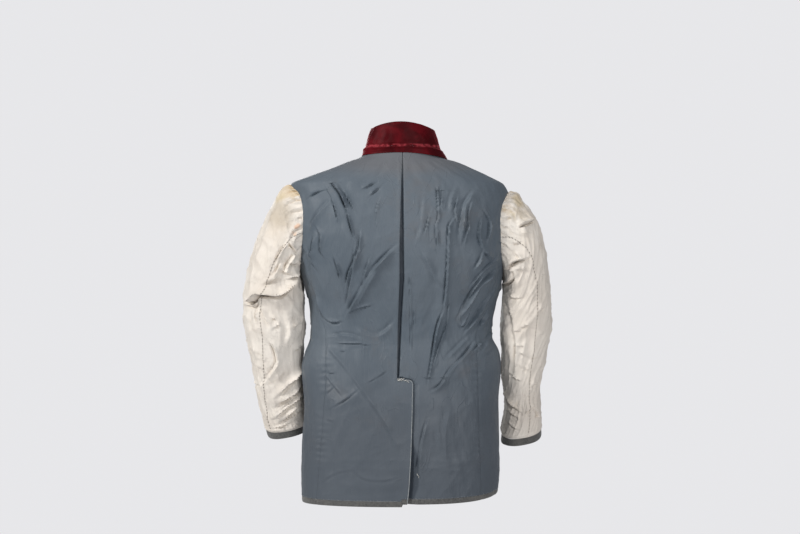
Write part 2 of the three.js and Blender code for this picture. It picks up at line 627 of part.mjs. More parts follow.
function facing(side) {
  const levels = facingLevels(side);
  const columns = FACING_COLUMNS[side].length - 1;
  const at = (i, j, down) => {
    const theta = facingTheta(side, levels[i], j);
    return cloth(theta, levels[i], down, facingDip(side, bodyPoint(theta, levels[i])));
  };
  return wall(levels.length - 1, columns, (i, j) => at(i, j, 0), (i, j) => at(i, j, WALL));
}

function unitTurn(turn) {
  const c = Math.cos(turn * TURN);
  const s = Math.sin(turn * TURN);
  const reach = (Math.abs(c) ** ARM_POWER + Math.abs(s) ** ARM_POWER) ** (-1 / ARM_POWER);
  return { c: c * reach, s: s * reach };
}

function armholePoint(side, turn) {
  const z = armholeLevel(side, turn, 0);
  const rear = Math.sin(turn * TURN) >= 0;
  return cloth(armholeTheta(side, z, rear, 0), z, 0, 0);
}

function sleevePoint(side, ring, turn) {
  if (ring === 0) return armholePoint(side, turn);
  const row = SLEEVE_ROWS[side][ring];
  const { c, s } = unitTurn(turn);
  const depth = s >= 0 ? row.back : row.front;
  const x = (row.ox + row.ix) / 2 + (row.ox - row.ix) / 2 * c - row.bow * s * s;
  const z = (row.oz + row.iz) / 2 + (row.oz - row.iz) / 2 * c + row.fall * s;
  return new THREE.Vector3(ARMHOLES[side].sign * x, row.y + depth * s, z);
}

function sleeveNormal(side, ring, turn) {
  const last = SLEEVE_ROWS[side].length - 1;
  const round = sleevePoint(side, ring, turn + 2).sub(sleevePoint(side, ring, turn - 2));
  const before = sleevePoint(side, Math.max(0, ring - 1), turn);
  const along = sleevePoint(side, Math.min(last, ring + 1), turn).sub(before);
  return round.cross(along).multiplyScalar(-ARMHOLES[side].sign).normalize();
}

function rootNormal(side, turn) {
  const z = armholeLevel(side, turn, 0);
  const theta = armholeTheta(side, z, Math.sin(turn * TURN) >= 0, 0);
  return sleeveNormal(side, 0, turn).add(bodyNormal(theta, z)).normalize();
}

function sleeveLift(side, ring, turn, column) {
  if (ring === 0) return 0;
  const point = sleevePoint(side, ring, turn);
  const facing = Math.max(0, Math.sin(turn * TURN));
  const folds = foldLift(SLEEVE_FOLDS[side], point.x, point.z) * smooth(0, 0.5, facing);
  const gather = GATHER * (GATHER_FADE[ring] ?? 0) * (column % 2 ? 1 : -1) * smooth(0.2, 0.7, facing);
  return folds * smooth(0, 2, ring) + gather;
}

// Columns of a sleeve half at the armhole: both ends lie on its seams.
function rootTurns(half) {
  const rear = BACK_TURNS.filter((turn) => (turn - BACK_SEAM_TURN) * (half === "top" ? -1 : 1) >= 0);
  if (half === "under") {
    const ahead = FRONT_TURNS.filter((turn) => turn >= FRONT_SEAM_TURN && turn < 180);
    return [...rear, ...ahead.reverse().map((turn) => 360 - turn)];
  }
  const ahead = FRONT_TURNS.filter((turn) => turn > 0 && turn <= FRONT_SEAM_TURN);
  return [...ahead.reverse().map((turn) => -turn), ...rear];
}

// The same columns at a lower ring, stretched so that the halves still meet on the seam.
function sleeveTurns(side, ring, half) {
  const turns = rootTurns(half);
  const seam = SLEEVE_ROWS[side][ring].seam;
  const first = half === "top" ? -FRONT_SEAM_TURN : seam;
  const last = half === "top" ? seam : 360 - FRONT_SEAM_TURN;
  const stretch = (last - first) / (turns[turns.length - 1] - turns[0]);
  return turns.map((turn) => first + (turn - turns[0]) * stretch);
}

function sleeveHalf(side, half, fromRing, toRing, thickness) {
  const rings = toRing - fromRing;
  const columns = sleeveTurns(side, 0, half).length - 1;
  const inset = SEAM * 0.5 / 60 / TURN;
  const at = (i, j, down) => {
    const ring = fromRing + i;
    const turns = sleeveTurns(side, ring, half);
    const trim = (j === 0 ? inset : 0) - (j === columns ? inset : 0);
    const turn = turns[j] + trim;
    const normal = ring === 0 ? rootNormal(side, turn) : sleeveNormal(side, ring, turn);
    const point = sleevePoint(side, ring, turn);
    if (i === 0 && ring > 0) point.lerp(sleevePoint(side, ring + 1, turn), CUFF_START);
    return point.addScaledVector(normal, sleeveLift(side, ring, turn, j) - down);
  };
  return wall(rings, columns, (i, j) => at(i, j, 0), (i, j) => at(i, j, thickness));
}

// Neck seam from one front end round the nape to the other; u runs from -1 to 1.
function neckPoint(u) {
  const turn = u * Math.PI;
  const ahead = Math.abs(u) > 0.5;
  if (!ahead) return bodyPoint(turn, 0);
  const share = (Math.abs(u) - 0.5) * 2;
  const z = -NECK_DROP * Math.sin(share * Math.PI / 2);
  const x = neckHalf(u > 0 ? "left" : "right", z);
  return bodyPoint(thetaAtX(Math.sign(u) * x, z, false), z);
}

function aroundNeck(sizes, u) {
  const turn = Math.abs(u) * Math.PI;
  const front = Math.max(0, -Math.cos(turn));
  const back = Math.max(0, Math.cos(turn));
  return sizes.side + (sizes.back - sizes.side) * back ** 2 + (sizes.front - sizes.side) * front ** 2;
}

function collarPoint(u, row, down) {
  const base = neckPoint(u);
  const turn = u * Math.PI;
  const out = new THREE.Vector3(Math.sin(turn), Math.cos(turn), 0);
  const lean = aroundNeck(COLLAR_LEAN, u) * row.lean;
  const height = aroundNeck(COLLAR_HEIGHT, u) * row.up;
  base.addScaledVector(out, row.push - lean - down);
  base.z += height + SEAM + 0.2;
  return base;
}

function collarTurn(quarters) {
  const past = Math.abs(quarters) - 1;
  if (past <= 0) return quarters / 2;
  return Math.sign(quarters) * (0.5 + past * (COLLAR_END - 0.5));
}

function collarPart(fromRow, toRow, lower) {
  const at = (i, j, down) => {
    const u = collarTurn(j / COLLAR_QUARTER - 2);
    const point = collarPoint(u, COLLAR_ROWS[fromRow + i], down);
    point.z += i === 0 ? lower : 0;
    return point;
  };
  const rows = toRow - fromRow;
  return wall(rows, COLLAR_QUARTER * 4, (i, j) => at(i, j, 0), (i, j) => at(i, j, COLLAR_WALL));
}

function collarPieces() {
  return [
    piece("collar_stand", "velvet", collarPart(0, ROLL_ROW, 0)),
    piece("collar_fall", "velvet", collarPart(ROLL_ROW, COLLAR_ROWS.length - 1, SEAM)),
  ];
}

function sidePieces(side) {
  return [
    piece(`back_${side}`, "lining", backPanel(side)),
    piece(`side_${side}`, "lining", sidePanel(side)),
    piece(`front_${side}`, "lining", frontPanel(side)),
    piece(`facing_${side}`, "shell", facing(side)),
    piece(`hem_back_${side}`, "shell", backBand(side)),
    piece(`hem_side_${side}`, "shell", sideBand(side)),
    piece(`hem_front_${side}`, "shell", frontBand(side)),
  ];
}

function sleevePieces(side) {
  const last = SLEEVE_ROWS[side].length - 1;
  return ["top", "under"].flatMap((half) => [
    piece(`sleeve_${half}_${side}`, "sleeve", sleeveHalf(side, half, 0, CUFF_RING, SLEEVE_WALL)),
    piece(`cuff_${half}_${side}`, "shell", sleeveHalf(side, half, CUFF_RING, last, BAND_WALL)),
  ]);
}

const jacket = new THREE.Group();
jacket.name = "uniform_jacket";
jacket.add(...collarPieces());
for (const side of ["left", "right"]) jacket.add(...sidePieces(side), ...sleevePieces(side));

export default jacket;
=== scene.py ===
"""A uniform jacket turned inside out and worn: lining outside, seen best from behind."""
import math

import bpy
import numpy as np
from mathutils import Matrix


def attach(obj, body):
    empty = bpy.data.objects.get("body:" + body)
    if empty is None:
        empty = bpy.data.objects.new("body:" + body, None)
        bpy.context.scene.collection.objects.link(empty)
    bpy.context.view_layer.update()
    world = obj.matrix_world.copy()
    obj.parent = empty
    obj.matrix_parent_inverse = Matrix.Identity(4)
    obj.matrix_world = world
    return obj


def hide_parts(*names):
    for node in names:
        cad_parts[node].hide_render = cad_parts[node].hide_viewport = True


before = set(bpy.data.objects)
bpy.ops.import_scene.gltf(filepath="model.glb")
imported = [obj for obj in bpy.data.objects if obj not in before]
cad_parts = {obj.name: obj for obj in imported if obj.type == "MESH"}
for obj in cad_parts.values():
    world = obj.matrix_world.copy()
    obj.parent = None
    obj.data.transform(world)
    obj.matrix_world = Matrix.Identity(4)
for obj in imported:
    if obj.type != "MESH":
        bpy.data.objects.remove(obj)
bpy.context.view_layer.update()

MM = 0.001

# Sizes in millimetres. Z up, the front faces -Y, the wearer's left is +X, the origin is the nape.
LINING = 1.3
SLEEVE_LINING = 1.1
SHELL = 2.2
VELVET = 2.8
SEAM = 0.4
BAND = 11
FACING = 72
FACING_TOP = -9
FRONT_TOP = -9.8
LAP = 20
TUCK = 12
PLEAT_DEPTH = 4.6
VENT_DEPTH = 4.4
FRONT_DIP = 5
NECK_DROP = 70
VENT_TOP = -444.6
VENT_CORNER = 8.5
ARM_POWER = 2.2
SEAM_TURN = 131
FRONT_SEAM_TURN = 112
HEM_FADE = 90
CUFF_RING = 16
CUFF_START = 0.04
COLLAR_END = 0.991
ROLL_ROW = 2
LAST_RING = 17
# A turn of one radian round the body, one degree round a sleeve and the neck's half length, in mm.
BODY_RADIUS = 190
SLEEVE_DEGREE = 1.15
NECK_LENGTH = 170
SIDES = ("left", "right")
SIGN = {"left": 1, "right": -1}

# Body by level: half widths, line of the side, back, front and squareness.
BODY_NAMES = ("z", "left", "right", "side", "back", "front", "power")
BODY = np.array([
    (10, 70, 70, -49, -5, -84, 2.0),
    (0, 76, 79, -50, 0, -88, 2.0),
    (-8.6, 87.4, 91.3, -51, 3.5, -92, 2.0),
    (-12.6, 99, 104, -52, 5, -94, 2.0),
    (-28.5, 137, 137, -56, 12, -102, 2.05),
    (-44.4, 181, 172, -60, 18, -110, 2.1),
    (-62, 221, 203, -65, 25, -119, 2.15),
    (-82, 217, 212, -70, 30, -134, 2.25),
    (-123, 213.5, 211, -76, 38, -170, 2.4),
    (-172, 211, 210, -80, 42, -197, 2.45),
    (-201, 208, 207, -81, 41, -204, 2.45),
    (-232, 202, 202, -81, 37, -207, 2.45),
    (-267, 193, 197, -81, 29, -205, 2.4),
    (-299, 185, 187, -81, 20, -200, 2.4),
    (-347, 182, 179, -80, 13, -191, 2.4),
    (-364, 182, 180, -79, 13, -189, 2.4),
    (-395, 192, 193, -77, 18, -188, 2.4),
    (-425, 199, 196, -76, 26, -189, 2.4),
    (-491, 195, 192, -74, 40, -192, 2.4),
    (-571, 198, 193, -73, 46, -194, 2.4),
    (-640, 200, 194, -73, 46, -195, 2.4),
    (-700, 199, 189, -73, 45, -193, 2.4),
])

# Middle of the back by level: edge of the upper panel, start of the dip in the under panel.
CENTRE_NAMES = ("z", "over", "dip")
CENTRE_BACK = np.array([
    (10, -0.6, -4), (0, -0.4, -4), (-60, 1.6, -4.4), (-172, 5, -5.2), (-250, 5, -5.8), (-327, 7.9, -1),
    (-418, 9.6, 3.2), (-438, 9.8, 4), (-442, 9.8, -18), (-444, 9.8, -24),
])
VENT_BACK = np.array([
    (-444, -20.5, -24), (-447, -20.5, -27), (-454, -20.5, -31), (-520, -19.2, -28),
    (-588, -17.2, -26), (-655, -13.4, -24), (-700, -9, -20),
])

# Seams between the back and the side panels: distance from the middle.
SEAM_NAMES = ("z", "left", "right")
SIDE_SEAM = np.array([
    (-190, 196, 196), (-232, 187, 189), (-299, 170, 170), (-364, 150, 146),
    (-425, 150, 148), (-520, 155, 150), (-640, 165, 154), (-700, 169, 156),
])

# Armholes: top, bottom, reach to the back and to the front. Hems: back, side and front level.
ARMHOLES = {"left": (-62, -232, 60, 56), "right": (-77, -236, 60, 56)}
HEMS = {"left": (-688, -690, -689), "right": (-683, -671, -684)}
HEM_LEVEL = -690
BODY_BOTTOM = HEM_LEVEL + BAND + SEAM

# Large folds: ends, sideways bend, width, height of the ridge, depth beside it.
BACK_FOLDS = (
    (133, -58, 89, -200, 9, 12, 3.2, 0.5),
    (89, -195, 116, -322, -14, 12.2, 3.4, 0.7),
    (164, -150, 178, -222, 3, 9.5, 2.6, 0.6),
    (14, -188, 112, -345, 10, 13.5, 2.9, 0.5),
    (172, -360, 50, -371, 2, 10.8, 2.2, 0.8),
    (149, -377, 14, -543, 6, 17.6, 2.8, 0.4),
    (137, -497, 26, -420, 8, 12.2, 2.2, 0.6),
    (130, -648, -10, -636, 5, 13.5, 1.8, 0.6),
    (-92, -148, -54, -416, -6, 10.8, 2.6, 0.7),
    (-56, -400, -47, -468, 2, 10.8, 2.2, 0.6),
    (-71, -63, -65, -160, 2, 10.8, 1.8, 0.5),
    (-141, -80, -122, -172, 4, 13.5, 3.2, 0.5),
    (-133, -170, -172, -262, 4, 10.8, 2.6, 0.6),
    (-172, -250, -112, -326, -8, 12.2, 2.8, 0.7),
    (-158, -362, -52, -462, -8, 12.2, 2.8, 0.6),
    (-29, -520, -44, -617, 3, 12.2, 1.8, 0.8),
)
FRONT_FOLDS = (
    (150, -120, 96, -250, 8, 14.9, 3.4, 0.5),
    (-150, -125, -92, -260, -8, 14.9, 3.4, 0.5),
    (160, -350, 92, -440, -6, 14.9, 3, 0.5),
    (-160, -345, -96, -455, 6, 14.9, 3, 0.5),
)
SLEEVE_FOLDS = {
    "left": (
        (314, -279, 222, -306, -10, 14.9, 5.2, 0.9),
        (218, -226, 206, -262, 4, 12.2, 4.0, 0.6),
        (240, -195, 286, -262, 5, 13.5, 2.8, 0.5),
        (270, -340, 240, -420, -10, 14.9, 2.8, 0.6),
        (264, -448, 204, -398, 5, 12.2, 2.8, 0.8),
        (272, -500, 206, -436, 6, 12.2, 2.8, 0.8),
        (264, -530, 200, -486, 5, 10.8, 2.6, 0.8),
    ),
    "right": (
        (-262, -128, -226, -150, -3, 10.8, 3.4, 0.9),
        (-240, -206, -210, -228, -3, 12.2, 3.8, 0.9),
        (-212, -232, -236, -262, 4, 12.2, 3.6, 0.6),
        (-276, -330, -220, -300, 5, 13.5, 2.2, 0.6),
        (-222, -330, -240, -470, 6, 13.5, 2.4, 0.5),
        (-272, -400, -226, -378, 4, 12.2, 2.2, 0.6),
        (-276, -520, -236, -494, 4, 10.8, 2.4, 0.7),
    ),
}

# Fine creases: the line they follow as (x, z), width, height, share that sinks beside them.
BACK_CREASES = (
    ([(141, -55), (122, -79), (105, -115)], 4.2, 3.4, 0.9),
    ([(150, -66), (136, -92), (126, -122), (122, -150)], 3.4, 1.6, 0.9),
    ([(118, -66), (98, -104), (84, -132)], 3.4, 1.6, 0.9),
    ([(129, -61), (111, -98), (102, -130), (89, -178)], 4.5, 3, 0.6),
    ([(89, -178), (93, -212), (104, -240), (109, -269)], 5, 3, 0.7),
    ([(79, -147), (81, -183), (91, -219), (100, -260), (108, -308)], 6, 2.6, 0.6),
    ([(79, -74), (52, -60)], 4, 1.6, 0.6),
    ([(68, -91), (37, -62)], 4, 1.6, 0.6),
    ([(9, -185), (42, -216), (62, -241), (81, -274), (100, -308), (109, -323)], 7, 3.2, 0.5),
    ([(167, -153), (156, -163), (158, -192), (147, -214)], 4, 1.8, 0.7),
    ([(136, -192), (123, -231), (117, -269)], 4, 1.8, 0.6),
    ([(172, -163), (174, -192), (181, -217)], 4.5, 2.4, 0.9),
    ([(135, -91), (162, -122), (184, -160)], 8, 2.4, 0.4),
    ([(182, -183), (175, -207), (182, -231)], 4, 2, 0.8),
    ([(162, -303), (149, -326), (133, -333), (113, -328)], 5, 1.8, 0.8),
    ([(175, -260), (163, -293), (148, -332)], 6, 2.4, 0.7),
    ([(9, -325), (30, -350), (52, -361), (91, -346)], 10, 1.5, 0.5),
    ([(71, -370), (110, -358), (148, -363)], 7, 1.6, 0.6),
    ([(141, -375), (91, -374), (47, -380)], 3, 1.3, 0.7),
    ([(129, -391), (105, -387)], 3, 1.2, 0.7),
    ([(146, -380), (115, -415), (81, -458), (52, -496), (23, -544), (8, -583)], 9, 2.6, 0.35),
    ([(141, -500), (110, -481), (81, -458)], 4, 2, 0.8),
    ([(74, -452), (52, -440), (22, -419)], 4, 1.8, 0.8),
    ([(152, -432), (126, -430)], 3, 1.3, 0.7),
    ([(149, -472), (133, -457)], 4, 1.2, 0.7),
    ([(162, -645), (124, -622), (100, -617), (71, -633), (42, -636), (4, -629)], 6, 0.9, 0.6),
    ([(151, -520), (129, -524)], 5, 1, 0.6),
    ([(42, -221), (71, -269), (91, -308)], 9, 1.5, 0.4),
    ([(-103, -129), (-91, -149), (-89, -212), (-86, -260), (-82, -308)], 4.5, 2.6, 0.7),
    ([(-82, -308), (-69, -341), (-61, -390), (-50, -456)], 4.5, 3.4, 0.9),
    ([(-68, -58), (-71, -130), (-66, -145), (-71, -192)], 3.5, 1.5, 0.7),
    ([(-141, -77), (-122, -110), (-116, -149), (-114, -179)], 9, 3.4, 0.5),
    ([(-130, -135), (-120, -183)], 5, 2.2, 0.8),
    ([(-156, -130), (-150, -163), (-160, -192)], 5, 2.4, 0.7),
    ([(-160, -192), (-141, -233)], 5, 2.4, 0.8),
    ([(-160, -192), (-178, -213)], 5, 2.4, 0.8),
    ([(-187, -231), (-155, -260), (-133, -289), (-114, -323)], 5.5, 3.6, 0.8),
    ([(-163, -236), (-142, -265), (-120, -304), (-109, -326)], 4.5, 2.8, 0.9),
    ([(-109, -326), (-116, -340), (-137, -294)], 4, 1.8, 0.6),
    ([(-184, -270), (-164, -294), (-140, -333), (-122, -357)], 6, 2.6, 0.7),
    ([(-176, -303), (-160, -332), (-140, -356)], 6, 2, 0.7),
    ([(-146, -370), (-122, -399), (-93, -428), (-74, -456), (-50, -471)], 6, 3.4, 0.8),
    ([(-136, -358), (-107, -385), (-78, -414)], 8, 1.8, 0.5),
    ([(-34, -192), (-50, -217), (-68, -250), (-84, -270)], 7, 1.8, 0.5),
    ([(-15, -231), (-17, -317), (-18, -404)], 2.5, 0.9, 0.8),
    ([(-23, -280), (-25, -356)], 2.5, 0.7, 0.8),
    ([(-9, -447), (-16, -430)], 3, 1.2, 0.6),
    ([(-50, -520), (-40, -558), (-34, -597), (-29, -633)], 6, 2.6, 0.9),
    ([(-69, -524), (-77, -597)], 12, 1.8, 0.4),
    ([(-160, -515), (-170, -540)], 5, 1.2, 0.6),
    ([(-107, -67), (-95, -96), (-92, -125)], 8, 1.6, 0.5),
    ([(-174, -130), (-170, -173)], 5, 1.6, 0.7),
    ([(-44, -82), (-39, -139), (-30, -183)], 10, 1.3, 0.4),
    ([(-181, -346), (-160, -385), (-145, -409)], 6, 1.8, 0.7),
    ([(-95, -491), (-83, -548), (-85, -606)], 13, 1.6, 0.4),
    ([(-157, -107), (-172, -141), (-165, -184)], 3.6, 1.7, 0.8),
    ([(-137, -92), (-127, -131), (-131, -171)], 3.4, 1.4, 0.8),
    ([(-110, -84), (-103, -117), (-112, -147)], 3.4, 1.3, 0.8),
    ([(-80, -61), (-75, -117)], 3.4, 1.1, 0.7),
    ([(-57, -111), (-47, -151), (-40, -174)], 3.4, 1.2, 0.7),
    ([(-190, -204), (-160, -231), (-133, -264)], 3.8, 1.9, 0.8),
    ([(-93, -277), (-88, -331), (-70, -384), (-60, -424)], 3.4, 1.4, 0.8),
    ([(190, -92), (163, -77), (140, -72)], 3.4, 1.2, 0.8),
    ([(195, -184), (173, -217), (163, -237)], 3.4, 1.5, 0.8),
    ([(173, -137), (159, -165), (161, -197)], 3.4, 1.4, 0.8),
    ([(57, -197), (70, -231), (77, -264)], 3.4, 1.3, 0.7),
    ([(113, -317), (83, -304), (53, -297)], 3.6, 1.3, 0.7),
    ([(133, -204), (121, -231), (123, -257)], 3.4, 1.4, 0.8),
    ([(40, -84), (50, -124), (45, -164)], 3.4, 1, 0.7),
    ([(-193, -344), (-160, -371), (-127, -401)], 3.8, 1.8, 0.8),
    ([(-183, -384), (-153, -411)], 3.4, 1.4, 0.8),
    ([(177, -397), (143, -444), (113, -478)], 3.6, 1.3, 0.7),
)
LEFT_SLEEVE_CREASES = (
    ([(318, -284), (299, -292), (279, -277), (244, -280), (219, -258), (208, -238)], 5.5, 7, 1),
    ([(316, -300), (292, -302), (288, -287)], 4, 3, 0.9),
    ([(279, -261), (259, -251), (234, -244)], 6, 3, 0.7),
    ([(206, -198), (223, -218), (232, -241)], 5, 4.5, 0.8),
    ([(220, -171), (238, -201), (252, -234)], 5, 3.2, 0.7),
    ([(234, -211), (246, -236), (266, -256)], 5, 2.6, 0.7),
    ([(259, -146), (279, -191), (294, -236)], 12, 2, 0.4),
    ([(246, -111), (269, -151)], 9, 1.8, 0.4),
    ([(279, -297), (268, -327), (255, -344)], 5, 2.6, 0.7),
    ([(259, -347), (238, -336)], 4, 2.4, 0.8),
    ([(273, -361), (251, -386), (246, -411), (259, -437), (278, -462)], 6, 3, 0.7),
    ([(219, -392), (193, -375)], 4, 2.4, 0.8),
    ([(252, -482), (223, -452), (191, -407)], 6.5, 4.2, 1),
    ([(254, -502), (218, -476), (191, -442)], 6, 3.8, 1),
    ([(256, -526), (228, -502), (191, -471)], 6, 3.8, 1),
    ([(253, -540), (223, -522), (191, -505)], 4, 3.2, 1.1),
    ([(309, -381), (294, -388), (275, -402)], 4, 1.5, 0.6),
    ([(304, -412), (274, -427)], 4, 1.5, 0.6),
    ([(302, -451), (274, -464)], 4, 1.3, 0.6),
    ([(219, -346), (199, -331)], 5, 1.6, 0.6),
    ([(229, -306), (223, -351), (232, -386)], 9, 2, 0.4),
    ([(224, -172), (213, -186), (203, -200)], 4, 3, 1.2),
    ([(224, -214), (212, -218), (202, -210)], 4, 3.6, 1.2),
    ([(230, -249), (214, -241), (202, -235)], 4, 3.2, 1.2),
    ([(233, -192), (219, -176)], 3, 2.2, 1),
    ([(241, -226), (227, -236), (219, -228)], 3.4, 2, 0.9),
    ([(292, -306), (286, -322), (282, -340)], 3.6, 2.2, 0.9),
    ([(262, -322), (246, -330), (240, -345)], 3.6, 2, 0.9),
    ([(248, -512), (222, -489), (196, -455)], 3, 2.4, 1.1),
    ([(244, -532), (222, -514), (198, -488)], 3, 2.4, 1.1),
    ([(228, -462), (210, -434), (196, -420)], 3.4, 2.6, 1.1),
    ([(286, -404), (268, -412)], 3, 1.1, 0.9),
    ([(262, -548), (240, -543), (214, -531)], 3.2, 1.5, 0.9),
)
RIGHT_SLEEVE_CREASES = (
    ([(-226, -145), (-242, -139), (-261, -130)], 4.2, 5.2, 1.4),
    ([(-235, -86), (-246, -93), (-258, -112)], 4, 4.4, 1.4),
    ([(-204, -228), (-219, -214), (-245, -207)], 4.4, 6, 1.4),
    ([(-199, -259), (-210, -254), (-222, -244)], 4.4, 4.6, 1.3),
    ([(-216, -191), (-237, -212)], 4, 2, 0.7),
    ([(-221, -226), (-246, -231)], 5, 2, 0.7),
    ([(-211, -292), (-221, -336), (-229, -386), (-226, -437)], 6, 2.4, 0.6),
    ([(-229, -347), (-259, -332)], 4, 2, 0.8),
    ([(-231, -391), (-257, -406)], 4, 1.8, 0.7),
    ([(-228, -416), (-254, -431)], 4, 1.5, 0.7),
    ([(-203, -474), (-222, -498), (-243, -520)], 4.2, 3, 1),
    ([(-262, -503), (-274, -525), (-259, -529)], 3.5, 2.4, 0.9),
    ([(-262, -311), (-286, -301)], 5, 1.2, 0.5),
    ([(-266, -361), (-288, -351)], 5, 1.2, 0.5),
    ([(-210, -231), (-221, -231), (-226, -251)], 5, 2.4, 0.7),
    ([(-266, -416), (-284, -431)], 5, 1.2, 0.5),
    ([(-202, -326), (-208, -386), (-206, -451)], 7, 1.8, 0.5),
    ([(-211, -151), (-236, -161), (-261, -156)], 7, 1.6, 0.5),
    ([(-251, -461), (-274, -451)], 5, 1.5, 0.6),
    ([(-201, -129), (-210, -127), (-220, -131)], 3, 2.2, 1),
    ([(-206, -172), (-222, -178), (-236, -174)], 3.4, 1.8, 1),
    ([(-214, -354), (-228, -350), (-244, -354)], 3, 1.4, 0.9),
    ([(-212, -380), (-230, -378), (-246, -382)], 3, 1.4, 0.9),
    ([(-208, -428), (-228, -446), (-244, -452)], 3.4, 1.5, 0.9),
    ([(-206, -502), (-224, -520), (-238, -532)], 3, 1.6, 1),
    ([(-244, -520), (-256, -506), (-268, -496)], 3, 1.7, 1),
    ([(-210, -530), (-228, -548), (-240, -552)], 3, 1.5, 0.9),
    ([(-212, -276), (-222, -286), (-238, -284)], 3.4, 1.8, 0.9),
)

# The same kind of creases on the sides that turn away from the light, fewer and softer.
FRONT_CREASES = (
    ([(168, -96), (140, -128), (118, -176)], 7, 2.8, 0.7),
    ([(150, -150), (132, -196), (112, -258)], 5, 2.4, 0.6),
    ([(182, -168), (170, -214), (150, -246)], 5, 2.0, 0.7),
    ([(96, -86), (86, -132), (88, -190)], 9, 1.8, 0.5),
    ([(176, -300), (140, -322), (98, -330)], 6, 2.6, 0.8),
    ([(170, -352), (128, -372), (90, -392)], 5, 2.4, 0.8),
    ([(160, -384), (122, -430), (100, -500), (92, -566)], 11, 2.6, 0.5),
    ([(184, -430), (160, -498), (156, -560)], 8, 1.8, 0.5),
    ([(88, -430), (104, -500), (96, -590)], 9, 1.5, 0.5),
    ([(168, -600), (128, -634), (90, -640)], 8, 1.6, 0.6),
    ([(-160, -104), (-136, -142), (-110, -186)], 7, 2.6, 0.7),
    ([(-146, -166), (-118, -212), (-104, -266)], 5.5, 2.4, 0.6),
    ([(-180, -176), (-160, -228)], 5, 2.0, 0.7),
    ([(-90, -110), (-92, -170), (-84, -226)], 8, 1.6, 0.5),
    ([(-174, -292), (-136, -318), (-94, -318)], 6, 2.6, 0.8),
    ([(-166, -340), (-122, -368), (-86, -378)], 5, 2.2, 0.8),
    ([(-158, -372), (-124, -420), (-98, -478), (-94, -560)], 10, 2.6, 0.5),
    ([(-178, -452), (-160, -520), (-162, -590)], 8, 1.7, 0.5),
    ([(-100, -590), (-130, -630), (-164, -638)], 8, 1.4, 0.6),
)
FACING_CREASES = (
    ([(60, -96), (40, -150), (46, -230)], 12, 1.6, 0.4),
    ([(-52, -110), (-40, -176), (-50, -240)], 12, 1.4, 0.4),
    ([(64, -330), (10, -345), (-50, -338)], 10, 1.8, 0.5),
    ([(58, -430), (20, -520), (26, -620)], 14, 1.4, 0.4),
    ([(-60, -420), (-44, -520), (-56, -610)], 14, 1.4, 0.4),
)
# Creases of the side panels, as (y, z) seen from that side.
SIDE_CREASES = {
    "left": (
        ([(-40, -262), (-84, -286), (-126, -292)], 6, 2.6, 0.8),
        ([(-50, -322), (-88, -340), (-130, -334)], 5, 2.4, 0.8),
        ([(-34, -352), (-62, -398), (-70, -470)], 8, 2.4, 0.6),
        ([(-118, -350), (-104, -420), (-110, -500)], 8, 2.0, 0.6),
        ([(-44, -560), (-60, -620), (-56, -664)], 9, 1.4, 0.5),
    ),
    "right": (
        ([(-46, -258), (-90, -276), (-128, -296)], 6, 2.6, 0.8),
        ([(-42, -316), (-84, -344), (-122, -346)], 5, 2.6, 0.8),
        ([(-40, -366), (-70, -420), (-66, -492)], 8, 2.6, 0.6),
        ([(-122, -372), (-100, -436), (-116, -520)], 8, 1.8, 0.6),
        ([(-90, -570), (-76, -618), (-88, -660)], 9, 1.4, 0.5),
    ),
}
# Creases of the fronts of the sleeves, as (x, z) seen from the front.
SLEEVE_FRONT_CREASES = {
    "left": (
        ([(240, -150), (262, -190), (286, -228)], 9, 2.2, 0.5),
        ([(208, -226), (230, -262), (262, -286)], 6, 3.2, 0.8),
        ([(206, -262), (240, -296), (290, -312)], 6, 3.6, 0.9),
        ([(204, -312), (242, -326), (278, -322)], 5, 3.0, 0.9),
        ([(206, -346), (236, -368), (276, -372)], 5, 2.6, 0.8),
        ([(206, -384), (244, -428), (272, -484)], 8, 2.4, 0.5),
        ([(198, -452), (232, -486), (262, -500)], 5, 2.0, 0.8),
        ([(196, -500), (226, -522), (254, -528)], 5, 1.8, 0.8),
    ),
    "right": (
        ([(-236, -140), (-252, -186), (-272, -226)], 9, 2.0, 0.5),
        ([(-208, -232), (-232, -264), (-264, -276)], 6, 3.0, 0.8),
        ([(-206, -276), (-238, -300), (-280, -304)], 6, 3.2, 0.9),
        ([(-208, -322), (-240, -340), (-276, -336)], 5, 2.8, 0.9),
        ([(-212, -366), (-238, -392), (-268, -398)], 5, 2.2, 0.8),
        ([(-214, -410), (-240, -452), (-262, -500)], 8, 2.0, 0.5),
        ([(-216, -500), (-242, -520), (-268, -520)], 5, 1.8, 0.8),
    ),
}
# Tucks drawn in at the armholes: turn from the top, width, length down the sleeve, height.
TUCKS = {
    "left": (
        (14, 7, 30, 1.3), (24, 5, 22, 1.6), (33, 6, 34, 2.0), (41, 5, 26, 1.7), (49, 6, 42, 2.4),
        (57, 5, 30, 1.6), (65, 7, 36, 1.9), (75, 5, 24, 1.3), (86, 7, 38, 1.8), (98, 6, 26, 1.4),
        (112, 7, 30, 1.2), (-18, 7, 28, 1.4), (-31, 6, 34, 1.7), (-44, 7, 30, 1.9),
        (-58, 6, 24, 1.4), (-72, 8, 32, 1.4), (-90, 8, 26, 1.1),
    ),
    "right": (
        (10, 6, 26, 1.6), (19, 5, 20, 2.0), (28, 7, 32, 2.2), (38, 5, 24, 1.5), (47, 6, 30, 1.7),
        (58, 5, 36, 1.9), (68, 7, 28, 1.5), (79, 5, 34, 1.6), (90, 6, 24, 1.3), (103, 7, 32, 1.6),
        (118, 6, 24, 1.1), (-14, 6, 26, 1.5), (-28, 7, 34, 1.8), (-40, 6, 26, 1.4),
        (-55, 7, 30, 1.7), (-70, 7, 24, 1.3), (-88, 8, 28, 1.1),
    ),
}

